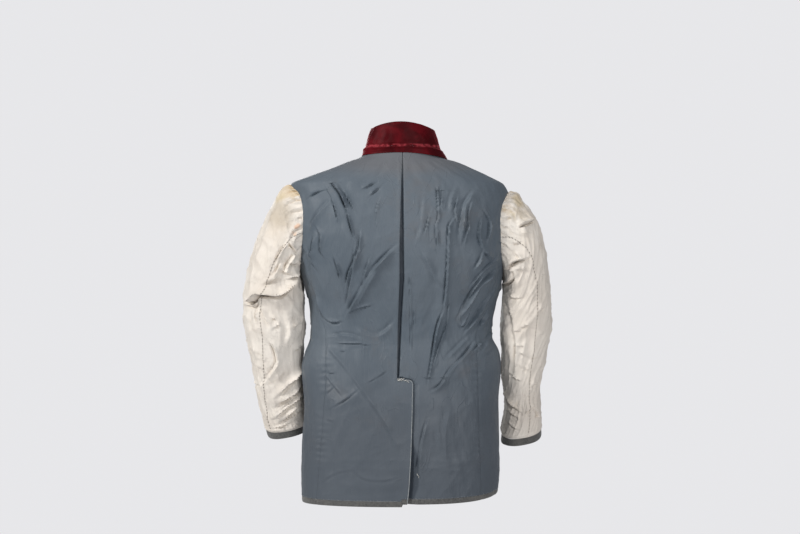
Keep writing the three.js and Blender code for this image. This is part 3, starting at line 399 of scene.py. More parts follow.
# Sleeves, ring by ring: outer and inner point, line of the arm, half depths, hollow towards
# the body, fall towards the back and turn of the back seam.
SLEEVE_NAMES = ("ox", "oz", "ix", "iz", "y", "back", "front", "bow", "fall", "seam")
SLEEVES = {
    "left": np.array([
        (222, -62, 202, -232, -80, 60, 56, 16, 0, 98),
        (236, -67, 205, -240, -80, 64, 60, 11, 0, 96),
        (248, -80, 204, -247, -81, 67, 62, 8, 0, 93),
        (262, -107, 203.4, -254, -82, 69, 64, 5, 0, 90),
        (276, -139, 202.4, -261, -83, 70, 66, 2, 0, 87),
        (290, -171, 201, -269, -84, 70, 67, 0, 0, 84),
        (303, -213, 199.4, -277, -85, 69, 67, 0, 0, 81),
        (312, -251, 197.6, -287, -86, 68, 66, 0, 0, 77),
        (316, -283, 196.4, -299, -87, 66, 65, 0, -1, 72),
        (316.5, -308, 195.6, -316, -89, 64, 64, 0, -3, 67),
        (315, -342, 195.6, -343, -93, 63, 62, 0, -7, 70),
        (308, -383, 199.6, -380, -101, 61, 60, 0, -10, 67),
        (301, -422, 201.6, -417, -110, 58, 57, 0, -12, 64),
        (294, -462, 197, -454, -119, 56, 54, 0, -13, 58),
        (287, -500, 191, -490, -129, 53, 51, 0, -14, 50),
        (281, -531, 187, -517, -137, 50, 48, 0, -14, 48),
        (277, -551, 184, -533, -142, 48, 46, 0, -13, 50),
        (274, -566, 183, -547, -146, 48, 46, 0, -12, 51),
    ]),
    "right": np.array([
        (212, -77, 202, -236, -80, 60, 56, 16, 0, 98),
        (227, -77, 205.2, -244, -80, 64, 60, 11, 0, 94),
        (241, -91, 204.4, -251, -81, 66, 62, 8, 0, 88),
        (257, -110, 204.6, -258, -82, 67, 63, 5, 0, 84),
        (271, -138, 204.4, -265, -83, 68, 64, 2, 0, 78),
        (282, -171, 204, -273, -84, 67, 64, 0, 0, 74),
        (289, -211, 202.6, -281, -85, 66, 64, 0, 0, 72),
        (294, -249, 201, -290, -86, 65, 63, 0, 0, 68),
        (296.5, -283, 200, -302, -87, 63, 62, 0, -1, 69),
        (297.5, -312, 199, -320, -89, 61, 61, 0, -3, 70),
        (297, -352, 199, -349, -93, 59, 60, 0, -7, 72),
        (290, -394, 202, -386, -100, 57, 57, 0, -9, 73),
        (281, -437, 203, -424, -108, 54, 54, 0, -11, 73),
        (278, -474, 206, -462, -117, 51, 51, 0, -12, 73),
        (280, -508, 209, -500, -126, 49, 49, 0, -13, 72),
        (282, -534, 207, -536, -134, 48, 47, 0, -13, 74),
        (283, -551, 203, -564, -139, 47, 46, 0, -11, 78),
        (284, -566, 201, -579, -142, 47, 46, 0, -11, 79),
    ]),
}

# Collar from the neck seam up: share of the height, push outwards, lean to the neck.
COLLAR = np.array([
    (0, 0, 0), (0.1, 1.4, 0.06), (0.2, 2.2, 0.14), (0.24, 1.4, 0.18), (0.42, 0.6, 0.36),
    (0.62, 0.8, 0.56), (0.82, 0.5, 0.78), (1, 0, 1),
])
COLLAR_HEIGHT = (59, 52, 46)
COLLAR_LEAN = (6, 15, 8)


def through(keys, values, at):
    """A smooth curve through the points of a table: a cubic between two rows whose slopes are
    the harmonic mean of the chords, so it never overshoots."""
    order = np.argsort(keys)
    k, v = keys[order].astype(float), values[order].astype(float)
    step = np.diff(k)
    rise = np.diff(v) / step
    product, total = rise[:-1] * rise[1:], rise[:-1] + rise[1:]
    bends = product > 0
    inner = np.where(bends, 2 * product / np.where(bends, total, 1), 0)
    slope = np.concatenate([rise[:1], inner, rise[-1:]])
    i = np.clip(np.searchsorted(k, at) - 1, 0, len(k) - 2)
    t = np.clip((at - k[i]) / step[i], 0, 1)
    a, b, da, db = v[i], v[i + 1], slope[i] * step[i], slope[i + 1] * step[i]
    return (a * (2 * t**3 - 3 * t**2 + 1) + da * (t**3 - 2 * t**2 + t)
            + b * (3 * t**2 - 2 * t**3) + db * (t**3 - t**2))


def column(table, names, name, at, key="z"):
    """One named column of a table as a smooth curve over its key column."""
    return through(table[:, names.index(key)], table[:, names.index(name)], at)


def ramp(start, stop, at):
    """Smoothstep from 0 at start to 1 at stop."""
    t = np.clip((at - start) / (stop - start), 0, 1)
    return t * t * (3 - 2 * t)


def body(name, z):
    """A named size of the body at a level."""
    return column(BODY, BODY_NAMES, name, z)


def hem_rise(theta, z):
    """How far the cloth is drawn up or down near the hem: the hem's own level, fading upwards."""
    left = theta >= 0
    back = np.where(left, HEMS["left"][0], HEMS["right"][0])
    side = np.where(left, HEMS["left"][1], HEMS["right"][1])
    front = np.where(left, HEMS["left"][2], HEMS["right"][2])
    across = np.sin(theta) ** 4
    ahead = np.where(np.cos(theta) >= 0, back, front)
    return (ahead + (side - ahead) * across - HEM_LEVEL) * np.exp((HEM_LEVEL - z) / HEM_FADE)


def body_point(theta, z):
    """Body form: a squared ellipse at every level, theta turning from the middle of the back."""
    theta, z = np.broadcast_arrays(np.asarray(theta, float), np.asarray(z, float))
    s, c = np.sin(theta), np.cos(theta)
    power = body("power", z)
    reach = (np.abs(s) ** power + np.abs(c) ** power) ** (-1 / power)
    half = np.where(s >= 0, body("left", z), body("right", z))
    line = body("side", z)
    depth = np.where(c >= 0, body("back", z) - line, line - body("front", z))
    drop = np.where(s >= 0, 3, 7) * s * s * np.exp(np.minimum(0, z) / 16)
    height = z - drop + hem_rise(theta, z)
    return np.stack([half * reach * s, line + depth * reach * c, height], -1)


def unit(v):
    """Vectors scaled to length one."""
    return v / np.maximum(np.linalg.norm(v, axis=-1, keepdims=True), 1e-9)


def body_normal(theta, z):
    """Outward direction of the body form: the cross product of its two slopes."""
    theta, z = np.broadcast_arrays(np.asarray(theta, float), np.asarray(z, float))
    around = body_point(theta + 0.004, z) - body_point(theta - 0.004, z)
    up = body_point(theta, z + 0.6) - body_point(theta, z - 0.6)
    return unit(np.cross(up, around))


def ridge(off, width, lift, sink):
    """Cross section of a fold: a bell-shaped ridge with a shallower trough along one side."""
    return lift * (np.exp(-((off / width) ** 2)) - sink * np.exp(-(((off - 1.5 * width) / width) ** 2)))


def crisp(off, width, lift, sink):
    """Cross section of a crease: a sharp crest, steep on one side where the cloth tucks under,
    and falling away slowly on the other."""
    slope = np.where(off > 0, 0.42, 1.3) * width
    crest = np.exp(-((np.abs(off) / slope) ** 1.15))
    return lift * (crest - sink * np.exp(-(((off - 0.95 * width) / (0.5 * width)) ** 2)))


def folds(table, x, z):
    """Large folds: each a ridge along a bent line from end to end, fading at both ends."""
    total = np.zeros_like(x)
    for x0, z0, x1, z1, bend, width, lift, sink in table:
        dx, dz = x1 - x0, z1 - z0
        size = math.hypot(dx, dz)
        along = ((x - x0) * dx + (z - z0) * dz) / size**2
        off = ((z - z0) * dx - (x - x0) * dz) / size
        t = np.clip(along, 0, 1)
        fade = ramp(-0.08, 0.25, along) * ramp(1.08, 0.75, along)
        total += fade * ridge(off - bend * 4 * t * (1 - t), width, lift, sink)
    return total


def soft_line(points, step=5.0):
    """A smooth line through points: each coordinate is a curve over the length along them."""
    p = np.array(points, float)
    run = np.concatenate([[0], np.cumsum(np.hypot(*np.diff(p, axis=0).T))])
    at = np.linspace(0, run[-1], max(3, int(run[-1] / step) + 1))
    return np.stack([through(run, p[:, 0], at), through(run, p[:, 1], at)], -1), at


def creases(table, x, z, narrow=1.0):
    """Fine creases: each a narrow ridge at the shortest distance from a soft line, with a
    trough on one side, thinning towards both ends and uneven along its length."""
    total = np.zeros_like(x)
    for number, (points, width, lift, sink) in enumerate(table):
        line, run = soft_line(points)
        width = width * narrow
        reach = 4.2 * width
        low, high = line.min(0) - reach, line.max(0) + reach
        near = (x > low[0]) & (x < high[0]) & (z > low[1]) & (z < high[1])
        if not near.any():
            continue
        px, pz = x[near], z[near]
        best = np.full(px.shape, 1e9)
        off, along = np.zeros_like(px), np.zeros_like(px)
        for a, b, start, stop in zip(line[:-1], line[1:], run[:-1], run[1:]):
            d = b - a
            t = np.clip(((px - a[0]) * d[0] + (pz - a[1]) * d[1]) / (d @ d), 0, 1)
            ex, ez = px - a[0] - t * d[0], pz - a[1] - t * d[1]
            gap = np.hypot(ex, ez)
            closer = gap < best
            side = np.sign(d[0] * ez - d[1] * ex)
            off = np.where(closer, side * gap, off)
            along = np.where(closer, start + t * (stop - start), along)
            best = np.where(closer, gap, best)
        share = along / run[-1]
        end = np.minimum(28, 0.4 * run[-1])
        beyond = np.exp(-((np.maximum(0, best - np.abs(off)) / width) ** 2))
        fade = (0.1 + 0.9 * ramp(0, end, along)) * (0.1 + 0.9 * ramp(run[-1], run[-1] - end, along))
        uneven = 1 + 0.28 * np.sin(share * 9 + number * 2.3) + 0.16 * np.sin(along / 7.3 + number)
        total[near] += fade * beyond * uneven * crisp(off, width, lift, sink)
    return total


def swell(a, b, seed, sizes=((90, 0.9), (47, 0.55), (26, 0.3), (13, 0.14))):
    """Slack in the cloth: a sum of slow waves in seeded directions, each with its own length
    and height, so that no stretch of cloth is flat."""
    rng = np.random.default_rng(seed)
    total = np.zeros(np.broadcast(a, b).shape)
    for length, height in sizes:
        for _ in range(5):
            turn, phase = rng.uniform(0, math.pi), rng.uniform(0, 2 * math.pi)
            pitch = length * rng.uniform(0.75, 1.35)
            wave = (a * math.cos(turn) * 1.5 + b * math.sin(turn) * 0.7) * 2 * math.pi / pitch
            total += height / 2.2 * np.sin(wave + phase + 0.8 * np.sin(wave * 0.37 + phase))
    return total


def crumple(a, b, seed, sizes):
    """Small dry creases: sharp-crested waves in seeded directions, each kept to patches by two
    slow waves, so that no two are alike in length, depth or spacing."""
    rng = np.random.default_rng(seed)
    total = np.zeros(np.broadcast(a, b).shape)
    for pitch, height in sizes:
        for _ in range(4):
            turn, phase, slip = rng.uniform(0, math.pi), rng.uniform(0, 6.28), rng.uniform(0, 6.28)
            along = a * math.cos(turn) + b * math.sin(turn)
            across = b * math.cos(turn) - a * math.sin(turn)
            bend = 0.9 * np.sin(across / (pitch * 1.3) + slip) + 0.6 * np.sin(along / (pitch * 0.9) + phase)
            crest = (1 - np.abs(np.sin(along * math.pi / pitch + bend))) ** 2.6
            patch = np.sin(along / (pitch * 1.1) + slip) * np.sin(across / (pitch * 1.6) + phase)
            total += height * crest * ramp(0.05, 0.75, patch)
    return total


def theta_at_x(x, z, rear):
    """Turn of the body form where it is x from the middle."""
    x, z = np.broadcast_arrays(np.asarray(x, float), np.asarray(z, float))
    power = body("power", z)
    s = np.minimum(0.9999, np.abs(x) / np.where(x >= 0, body("left", z), body("right", z)))
    c = (1 - s**power) ** (1 / power)
    return np.where(x >= 0, 1, -1) * np.arctan2(s, c if rear else -c)


def theta_at_y(y, z, sign):
    """Turn of the body form where it lies at y, on one side."""
    power, line = body("power", z), body("side", z)
    depth = np.where(y >= line, body("back", z) - line, line - body("front", z))
    c = (y - line) / depth
    return sign * np.arctan2((1 - np.abs(c) ** power) ** (1 / power), c)


def armhole_level(side, turn, grow):
    """Level of the armhole at a turn from its top: a squared circle."""
    top, bottom = ARMHOLES[side][:2]
    c, s = np.cos(np.radians(turn)), np.abs(np.sin(np.radians(turn)))
    reach = (np.abs(c) ** ARM_POWER + s**ARM_POWER) ** (-1 / ARM_POWER)
    return (top + bottom) / 2 + ((top - bottom) / 2 + grow) * reach * c


def armhole_theta(side, z, rear, grow):
    """Turn of the body form where the armhole crosses a level."""
    top, bottom, back, front = ARMHOLES[side]
    u = np.minimum(1, np.abs(z - (top + bottom) / 2) / ((top - bottom) / 2 + grow))
    reach = np.where(rear, back + grow, -front - grow)
    y = body("side", z) + reach * (1 - u**ARM_POWER) ** (1 / ARM_POWER)
    return theta_at_y(y, z, SIGN[side])


def seam_theta(side, z, rear):
    """Seam between the back or front and the side panel: it leaves the armhole where the
    armhole ends it, and runs into its own line below."""
    top = armhole_level(side, SEAM_TURN, SEAM)
    joined = body_point(armhole_theta(side, top, rear, SEAM), top)
    line = column(SIDE_SEAM, SEAM_NAMES, side, z)
    lead = (abs(joined[..., 0]) - column(SIDE_SEAM, SEAM_NAMES, side, top)) * np.exp((z - top) / 30)
    return theta_at_x(SIGN[side] * (line + lead), z, rear)


def panel_edge(side, z, rear):
    """Outer edge of a back or a front: the shoulder, then the armhole, then the side seam."""
    inset = (-1 if rear else 1) * SIGN[side] * SEAM * 0.25 / BODY_RADIUS
    shoulder = SIGN[side] * math.pi / 2 + inset * 0.25
    hole = armhole_theta(side, z, rear, SEAM)
    below = seam_theta(side, z, rear) + inset
    on_seam = z < armhole_level(side, SEAM_TURN, SEAM) - 0.001
    on_shoulder = z > armhole_level(side, 0, SEAM) - 0.001
    return np.where(on_shoulder, shoulder, np.where(on_seam, below, hole))


def levels(side, top, pitch):
    """Levels of a panel from its top to the hem: even, but following the armhole's own turns."""
    arm = armhole_level(side, np.linspace(0, SEAM_TURN, int(230 / pitch)), SEAM)
    above = np.arange(top, arm[0] + pitch * 0.6, -pitch)
    below = np.linspace(arm[-1], VENT_TOP + 1, int((arm[-1] - VENT_TOP) / pitch))[1:]
    corner = VENT_TOP - VENT_CORNER * (1 - np.cos(np.linspace(0, math.pi / 2, 9)))
    rest = np.linspace(corner[-1], BODY_BOTTOM, int((corner[-1] - BODY_BOTTOM) / pitch))[1:]
    return np.concatenate([above, arm, below, corner, rest])


def spread(*stretches):
    """Shares from 0 to 1 in several stretches joined end to end: (start, stop, steps)."""
    parts = [np.linspace(a, b, n + 1)[1:] for a, b, n in stretches]
    return np.concatenate([[stretches[0][0]], *parts])


def vent_line(name, z):
    """Edge or dip of the centre back: the pleat above, the vent's extension below its top."""
    above = np.interp(-z, -CENTRE_BACK[:, 0], CENTRE_BACK[:, CENTRE_NAMES.index(name)])
    below = np.interp(-z, -VENT_BACK[:, 0], VENT_BACK[:, CENTRE_NAMES.index(name)])
    if name == "dip":
        return np.where(z > CENTRE_BACK[-1, 0], above, below)
    into = np.clip((VENT_TOP - z) / VENT_CORNER, 0, 1)
    corner = VENT_CORNER * (1 - np.sqrt(np.maximum(0, 1 - (1 - into) ** 2)))
    return np.where(z > VENT_TOP, above, below + corner)


def vent_groove(x, z):
    """The under panel beside the vent: a narrow groove, opening into a hollow near the hem."""
    edge = vent_line("over", z)
    groove = 2.6 * np.exp(-(((x - edge + 8.5) / 2.2) ** 2)) * ramp(-448, -456, z) * ramp(-612, -560, z)
    hollow = 3.4 * ramp(edge - 22, edge - 11, x) * ramp(-545, -640, z)
    return (groove + hollow) * (x < edge + 14)


def pleat_dip(x, z):
    """Depth of the under panel at the centre back: it steps inwards beneath the upper one."""
    over, dip = vent_line("over", z), vent_line("dip", z)
    deep = np.where(z > VENT_TOP, PLEAT_DEPTH * ramp(10, -150, z) + 2.2, VENT_DEPTH)
    deep = deep - 3 * ramp(-428, VENT_TOP, z) * (z > VENT_TOP)
    return deep * ramp(dip, np.where(z > VENT_TOP, dip + 4, over - 0.6), x) + vent_groove(x, z)


def seam_pucker(side, x, z, y):
    """Puckers of the side seams: short even ripples that die out a finger's width from them,
    and the shallow groove of the seam itself."""
    line = column(SIDE_SEAM, SEAM_NAMES, side, z)
    off = np.abs(np.abs(x) - line)
    uneven = np.sin(z / 2.15 + 1.7 * np.sin(z / 31)) * (0.55 + 0.45 * np.sin(z / 23 + 1.2))
    ends = ramp(-352, -392, z) * ramp(-672, -640, z) * (y > -70)
    groove = 1.1 * np.exp(-((off / 1.7) ** 2)) * ramp(-236, -270, z) * (y > -70)
    return 0.95 * np.exp(-off / 8.5) * uneven * ends - groove


def body_lift(theta, z, point):
    """Height of the cloth above the body form: large folds, creases, slack and puckers."""
    behind = np.cos(theta)
    x, y, level = point[..., 0], point[..., 1], point[..., 2]
    edge = ramp(-3, -30, z)
    flat = ramp(HEM_LEVEL, HEM_LEVEL + 26, level)
    calm = 0.5 + 0.5 * ramp(-430, -330, level)
    rear = ramp(0, 0.34, behind) * (
        0.6 * folds(BACK_FOLDS, x, level) + 2.2 * calm * creases(BACK_CREASES, x, level, 0.68))
    fore = ramp(0, -0.34, behind) * (
        folds(FRONT_FOLDS, x, level) + creases(FRONT_CREASES, x, level) + creases(FACING_CREASES, x, level))
    side_on = ramp(0.5, 0.2, np.abs(behind))
    flank = 0.6 * np.where(x >= 0, creases(SIDE_CREASES["left"], y, level),
                           creases(SIDE_CREASES["right"], y, level)) * side_on
    pucker = np.where(x >= 0, seam_pucker("left", x, level, y), seam_pucker("right", x, level, y))
    around = theta * BODY_RADIUS
    slack = 0.5 * swell(around, level, 5) \
        + crumple(around, level, 8, ((96, 0.9), (52, 0.6), (27, 0.25)))
    lap = 0.9 * np.exp(-(((x - vent_line("over", z) - 3.2) / 3.4) ** 2)) * (behind > 0) * ramp(-8, -60, z)
    return edge * (rear + fore + flank + lap) * (0.25 + 0.75 * flat) + pucker + slack * edge * flat


def body_cloth(theta, z, dip=0.0):
    """Outer face of the body cloth and its direction: the form moved out by its folds."""
    point = body_point(theta, z)
    normal = body_normal(theta, z)
    lift = body_lift(theta, z, point) - dip
    return point + normal * lift[..., None], normal


def cloth_uv(points):
    """Lengths over the cloth in metres: along each row, and down each column."""
    across = np.linalg.norm(np.diff(points, axis=1), axis=-1)
    down = np.linalg.norm(np.diff(points, axis=0), axis=-1)
    u = np.concatenate([np.zeros((points.shape[0], 1)), np.cumsum(across, 1)], 1)
    v = np.concatenate([np.zeros((1, points.shape[1])), np.cumsum(down, 0)], 0)
    return np.stack([u - u.mean(1, keepdims=True), v], -1) * MM


def grid_faces(rows, columns, offset, flip):
    """Quads of a grid of points, row by row."""
    i, j = np.meshgrid(np.arange(rows - 1), np.arange(columns - 1), indexing="ij")
    a = offset + i * columns + j
    quads = np.stack([a, a + 1, a + columns + 1, a + columns], -1).reshape(-1, 4)
    return quads[:, ::-1] if flip else quads


def rim_faces(rows, columns):
    """Quads that join the four edges of two grids of the same size."""
    size = rows * columns
    ring = np.concatenate([
        np.arange(columns), np.arange(1, rows) * columns + columns - 1,
        (rows - 1) * columns + np.arange(columns - 2, -1, -1), np.arange(rows - 2, 0, -1) * columns,
    ])
    after = np.roll(ring, -1)
    return np.stack([ring, ring + size, after + size, after], -1)


def volume(points, quads):
    """Signed volume inside closed quads: the sum of the tetrahedra to the origin."""
    a, b, c, d = (points[quads[:, k]] for k in range(4))
    return (np.einsum("ij,ij->i", a, np.cross(b, c)) + np.einsum("ij,ij->i", a, np.cross(c, d))).sum()


def add_piece(name, mesh, material):
    """A mesh as a piece of the jacket, in its material and on the jacket's one body."""
    mesh.materials.append(material)
    piece = bpy.data.objects.new(name, mesh)
    bpy.context.scene.collection.objects.link(piece)
    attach(piece, "root")
    return piece


def new_mesh(name, points, quads, material, uv, marks):
    """A mesh object from arrays in millimetres, with its cloth lengths and named marks."""
    mesh = bpy.data.meshes.new(name)
    mesh.from_pydata((points * MM).tolist(), [], quads.tolist())
    layer = mesh.uv_layers.new(name="cloth")
    layer.data.foreach_set("uv", uv[quads.ravel()].astype(np.float32).ravel())
    for mark, values in marks.items():
        mesh.attributes.new(mark, "FLOAT", "POINT").data.foreach_set("value", values.astype(np.float32))
    mesh.shade_smooth()
    mesh.set_sharp_from_angle(angle=math.radians(52))
    return add_piece(name, mesh, material)


def cloth_piece(name, outer, normal, thick, material, marks=None, round_edge=(0.0, 0.0)):
    """A wall of cloth: the outer grid, an inner grid one thickness below it, and a rim. The
    rim may be rounded: both faces sink to the middle as a half circle near the edge."""
    rows, columns = outer.shape[:2]
    uv = cloth_uv(outer)
    down = np.full((rows, columns), 0.0)
    for amount, i in zip(round_edge, (np.arange(rows), np.arange(rows)[::-1])):
        down = down + amount * 0.5 * thick * np.select([i == 0, i == 1], [0.8, 0.28], 0)[:, None]
    top = outer - normal * down[..., None]
    under = outer - normal * (thick - down)[..., None]
    points = np.concatenate([top.reshape(-1, 3), under.reshape(-1, 3)])
    quads = np.concatenate([
        grid_faces(rows, columns, 0, False), grid_faces(rows, columns, rows * columns, True),
        rim_faces(rows, columns),
    ])
    if volume(points, quads) < 0:
        quads = quads[:, ::-1]
    both = {k: np.tile(np.broadcast_to(v, (rows, columns)).ravel(), 2) for k, v in (marks or {}).items()}
    return new_mesh(name, points, quads, material, np.tile(uv.reshape(-1, 2), (2, 1)), both)


def tone_of(side_point):
    """Fading of the lining: greyer at the neck and along the shoulders."""
    x, z = side_point[..., 0], side_point[..., 2]
    neck = np.exp(-((x / 120) ** 2)) * ramp(-70, -4, z)
    yoke = 0.35 * ramp(-60, -20, z)
    return np.clip(neck + yoke, 0, 1)


def pleat_painted_shade(x, z):
    """Painted shade: darker colour down inside the pleat, and a painted shadow on the under panel beneath
    the vent's edge.
    """
    over, dip = vent_line("over", z), vent_line("dip", z)
    upper = ramp(dip + 0.5, dip + 3.5, x) * ramp(-4, -60, z) * (z > VENT_TOP + 6)
    wide = 5 + 13 * ramp(-560, -600, z) * ramp(-700, -640, z) + 6 * ramp(-600, -690, z)
    lower = 0.75 * ramp(over - wide, over - wide + 5, x) * (z < VENT_TOP - 3) * ramp(-520, -590, z)
    return upper + lower


def back_panel(side, material):
    """Half of the back: columns run from the centre edge to the panel's outer edge."""
    z = levels(side, 0, 2.1)
    over = vent_line("over", z)
    if side == "left":
        centre, lap, dense = theta_at_x(over, z, True), theta_at_x(np.full_like(z, 16), z, True), 10
    else:
        centre = theta_at_x(np.maximum(over, -2) + TUCK, z, True)
        beside = np.where(z > VENT_TOP, np.minimum(vent_line("dip", z), -4) - 4, over - 15)
        lap, dense = theta_at_x(beside, z, True), 20
    outer = panel_edge(side, z, True)
    near, far = np.linspace(0, 1, dense + 1), np.linspace(0, 1, 101)[1:]
    theta = np.concatenate([
        centre[:, None] + (lap - centre)[:, None] * near, lap[:, None] + (outer - lap)[:, None] * far,
    ], 1)
    level = np.broadcast_to(z[:, None], theta.shape)
    x = body_point(theta, level)[..., 0]
    dip = pleat_dip(x, level) if side == "right" else 0.0
    points, normal = body_cloth(theta, level, dip)
    # Painted shade: the 'deep' mark darkens the pleat's inside and paints a shadow beside the vent's edge.
    shade = pleat_painted_shade(x, level) if side == "right" else np.zeros_like(x)
    marks = {"fade": tone_of(points), "deep": shade}
    return cloth_piece(f"back_{side}_lining", points, normal, LINING, material, marks)


def side_panel(side, material):
    """Side panel: columns start round the foot of the armhole and end on the hem."""
    turn = np.concatenate([np.linspace(SEAM_TURN, 180, 25), np.linspace(180, SEAM_TURN, 25)[1:]])
    rear = np.arange(49) < 25
    start = armhole_level(side, turn, SEAM)
    first = armhole_theta(side, start, rear, SEAM)
    share = np.linspace(0, 1, 49)
    fall = np.linspace(0, 1, 176)[:, None]
    z = start + (BODY_BOTTOM - start) * fall
    inset = SIGN[side] * SEAM * 0.25 / BODY_RADIUS
    from_back, to_front = seam_theta(side, z, True) + inset, seam_theta(side, z, False) - inset
    top_back, top_front = seam_theta(side, start, True) + inset, seam_theta(side, start, False) - inset
    lead = first - (top_back + (top_front - top_back) * share)
    lead[[0, -1]] = 0
    theta = from_back + (to_front - from_back) * share + lead * np.exp((z - start) / 26)
    points, normal = body_cloth(theta, z)
    marks = {"fade": tone_of(points), "deep": 0 * share}
    return cloth_piece(f"side_{side}_lining", points, normal, LINING, material, marks)


def neck_half(side, z):
    """Front edge of the neck: a quarter circle from the shoulder down to the centre front."""
    u = np.clip(-z / NECK_DROP, 0, 1)
    return float(body(side, 0.0)) * np.sqrt(1 - u * u)


def facing_line(side, z):
    """Line where the facing meets the lining: even below, swinging out to the shoulder."""
    wide = float(body(side, float(FACING_TOP))) - FACING
    return FACING + wide * np.exp(np.minimum(0, z - FACING_TOP) / 60)


def front_panel(side, material):
    """Front lining: columns run from its outer edge to the facing."""
    z = levels(side, FRONT_TOP, 3.6)
    inner = theta_at_x(SIGN[side] * (facing_line(side, z) + SEAM * 0.2), z, False)
    share = np.linspace(0, 1, 50)
    outer = panel_edge(side, z, False)[:, None]
    theta = outer + (inner[:, None] - outer) * share
    points, normal = body_cloth(theta, np.broadcast_to(z[:, None], theta.shape))
    marks = {"fade": tone_of(points), "deep": 0 * theta}
    return cloth_piece(f"front_{side}_lining", points, normal, LINING, material, marks)


def facing(side, material):
    """Facing of the front: from the front edge, and above it the neck, to the lining."""
    sign = SIGN[side]
    neck = -NECK_DROP * np.sin(np.linspace(0.065, math.pi / 2 - 0.05, 34))
    neck = np.sort(np.append(neck, [FRONT_TOP + 0.03, FRONT_TOP - 0.1]))[::-1]
    z = np.concatenate([neck, np.linspace(-71.2, HEM_LEVEL, 180)])
    x = np.where(z > -NECK_DROP, sign * (neck_half(side, z) + SEAM * 1.5), -sign * LAP)
    edge = theta_at_x(x, z, False)
    edge = np.where((np.sign(x) != sign) & (x != 0), edge + sign * 2 * math.pi, edge)
    ridge_turn = sign * (math.pi / 2 + SEAM * 0.2 / BODY_RADIUS)
    line = theta_at_x(sign * (facing_line(side, z) - SEAM * 0.2), z, False)
    outer = np.where(z > FRONT_TOP, ridge_turn, line)
    theta = edge[:, None] + (outer - edge)[:, None] * np.linspace(0, 1, 34)
    level = np.broadcast_to(z[:, None], theta.shape)
    px = body_point(theta, level)[..., 0]
    dip = FRONT_DIP * ramp(-LAP - 22, -LAP - 2, px) if side == "right" else 0.0
    points, normal = body_cloth(theta, level, dip)
    return cloth_piece(f"facing_{side}_cloth", points, normal, SHELL, material)


def hem_band(part, side, material):
    """Turned-up edge of the shell cloth below the lining of one panel."""
    top = BODY_BOTTOM - SEAM
    z = np.linspace(top, top - BAND, 7)[:, None]
    sign = SIGN[side]
    if part == "side":
        inset = sign * SEAM * 0.25 / BODY_RADIUS
        start, stop = seam_theta(side, z, True) + inset, seam_theta(side, z, False) - inset
    elif part == "front":
        start = panel_edge(side, z, False)
        stop = theta_at_x(sign * (facing_line(side, z) + SEAM * 0.2), z, False)
    else:
        over = vent_line("over", z)
        start = theta_at_x(over if side == "left" else np.maximum(over, -2) + TUCK, z, True)
        stop = panel_edge(side, z, True)
    theta = start + (stop - start) * np.linspace(0, 1, 90)
    level = np.broadcast_to(z, theta.shape)
    x = body_point(theta, level)[..., 0]
    dip = pleat_dip(x, level) if (part, side) == ("back", "right") else 0.0
    points, normal = body_cloth(theta, level, dip)
    return cloth_piece(f"hem_{part}_{side}_turning", points, normal, SHELL, material, round_edge=(0.3, 0.7))


def sleeve_form(side, ring, turn):
    """Sleeve form: a squared ellipse carried down the arm, starting on the armhole itself."""
    ring, turn = np.broadcast_arrays(np.asarray(ring, float), np.asarray(turn, float))
    table = SLEEVES[side]
    keys = np.arange(len(table))
    row = {n: through(keys, table[:, k], ring) for k, n in enumerate(SLEEVE_NAMES)}
    c, s = np.cos(np.radians(turn)), np.sin(np.radians(turn))
    reach = (np.abs(c) ** ARM_POWER + np.abs(s) ** ARM_POWER) ** (-1 / ARM_POWER)
    c, s = c * reach, s * reach
    depth = np.where(s >= 0, row["back"], row["front"])
    x = (row["ox"] + row["ix"]) / 2 + (row["ox"] - row["ix"]) / 2 * c - row["bow"] * s * s
    z = (row["oz"] + row["iz"]) / 2 + (row["oz"] - row["iz"]) / 2 * c + row["fall"] * s
    arm = np.stack([SIGN[side] * x, row["y"] + depth * s, z], -1)
    level = armhole_level(side, turn, 0)
    hole, _ = body_cloth(armhole_theta(side, level, np.sin(np.radians(turn)) >= 0, 0), level)
    root = ramp(0, 1, ring)[..., None]
    return hole + (arm - hole) * root


def tucks(side, turn, down):
    """Tucks drawn in at the armhole: each a short ridge that runs down the sleeve and fades."""
    total = np.zeros_like(turn)
    for at, width, size, lift in TUCKS[side]:
        off = (turn - at) * SLEEVE_DEGREE + 0.1 * down * math.sin(at)
        total += 1.9 * crisp(off, width * 0.55, lift, 1.0) * ramp(size * 1.25, size * 0.2, down)
    fine = (1 - np.abs(np.sin(turn * 0.42 + 1.1 * np.sin(turn / 11) + 0.5 * np.sin(down / 6)))) ** 2
    total += 1.7 * fine * ramp(26, 3, down) * (0.55 + 0.45 * np.sin(turn / 7 + 1))
    return total * ramp(-1, 3, down)


def sleeve_lift(side, turn, down, point):
    """Height of the sleeve cloth above its form: folds, creases, tucks and slack."""
    s = np.sin(np.radians(turn))
    x, z = point[..., 0], point[..., 2]
    fine = LEFT_SLEEVE_CREASES if side == "left" else RIGHT_SLEEVE_CREASES
    rear = ramp(0, 0.5, s) * (folds(SLEEVE_FOLDS[side], x, z) + 2.2 * creases(fine, x, z, 0.85))
    fore = ramp(0, -0.5, s) * 1.3 * creases(SLEEVE_FRONT_CREASES[side], x, z)
    flank = ramp(0.75, 0.2, np.abs(s)) * 1.1 * np.sin(down / 19 + 2.2 * np.sin(down / 57) + turn / 40) \
        * (0.4 + 0.6 * np.sin(down / 71 + 1.1) ** 2)
    seed = 11 if side == "left" else 17
    around = turn * SLEEVE_DEGREE
    slack = 0.8 * swell(around, down, seed) \
        + crumple(around, down, seed + 1, ((58, 2.4), (34, 1.9), (19, 1.1)))
    root = ramp(0, 14, down)
    return (rear + fore + flank + slack) * root + tucks(side, turn, down)


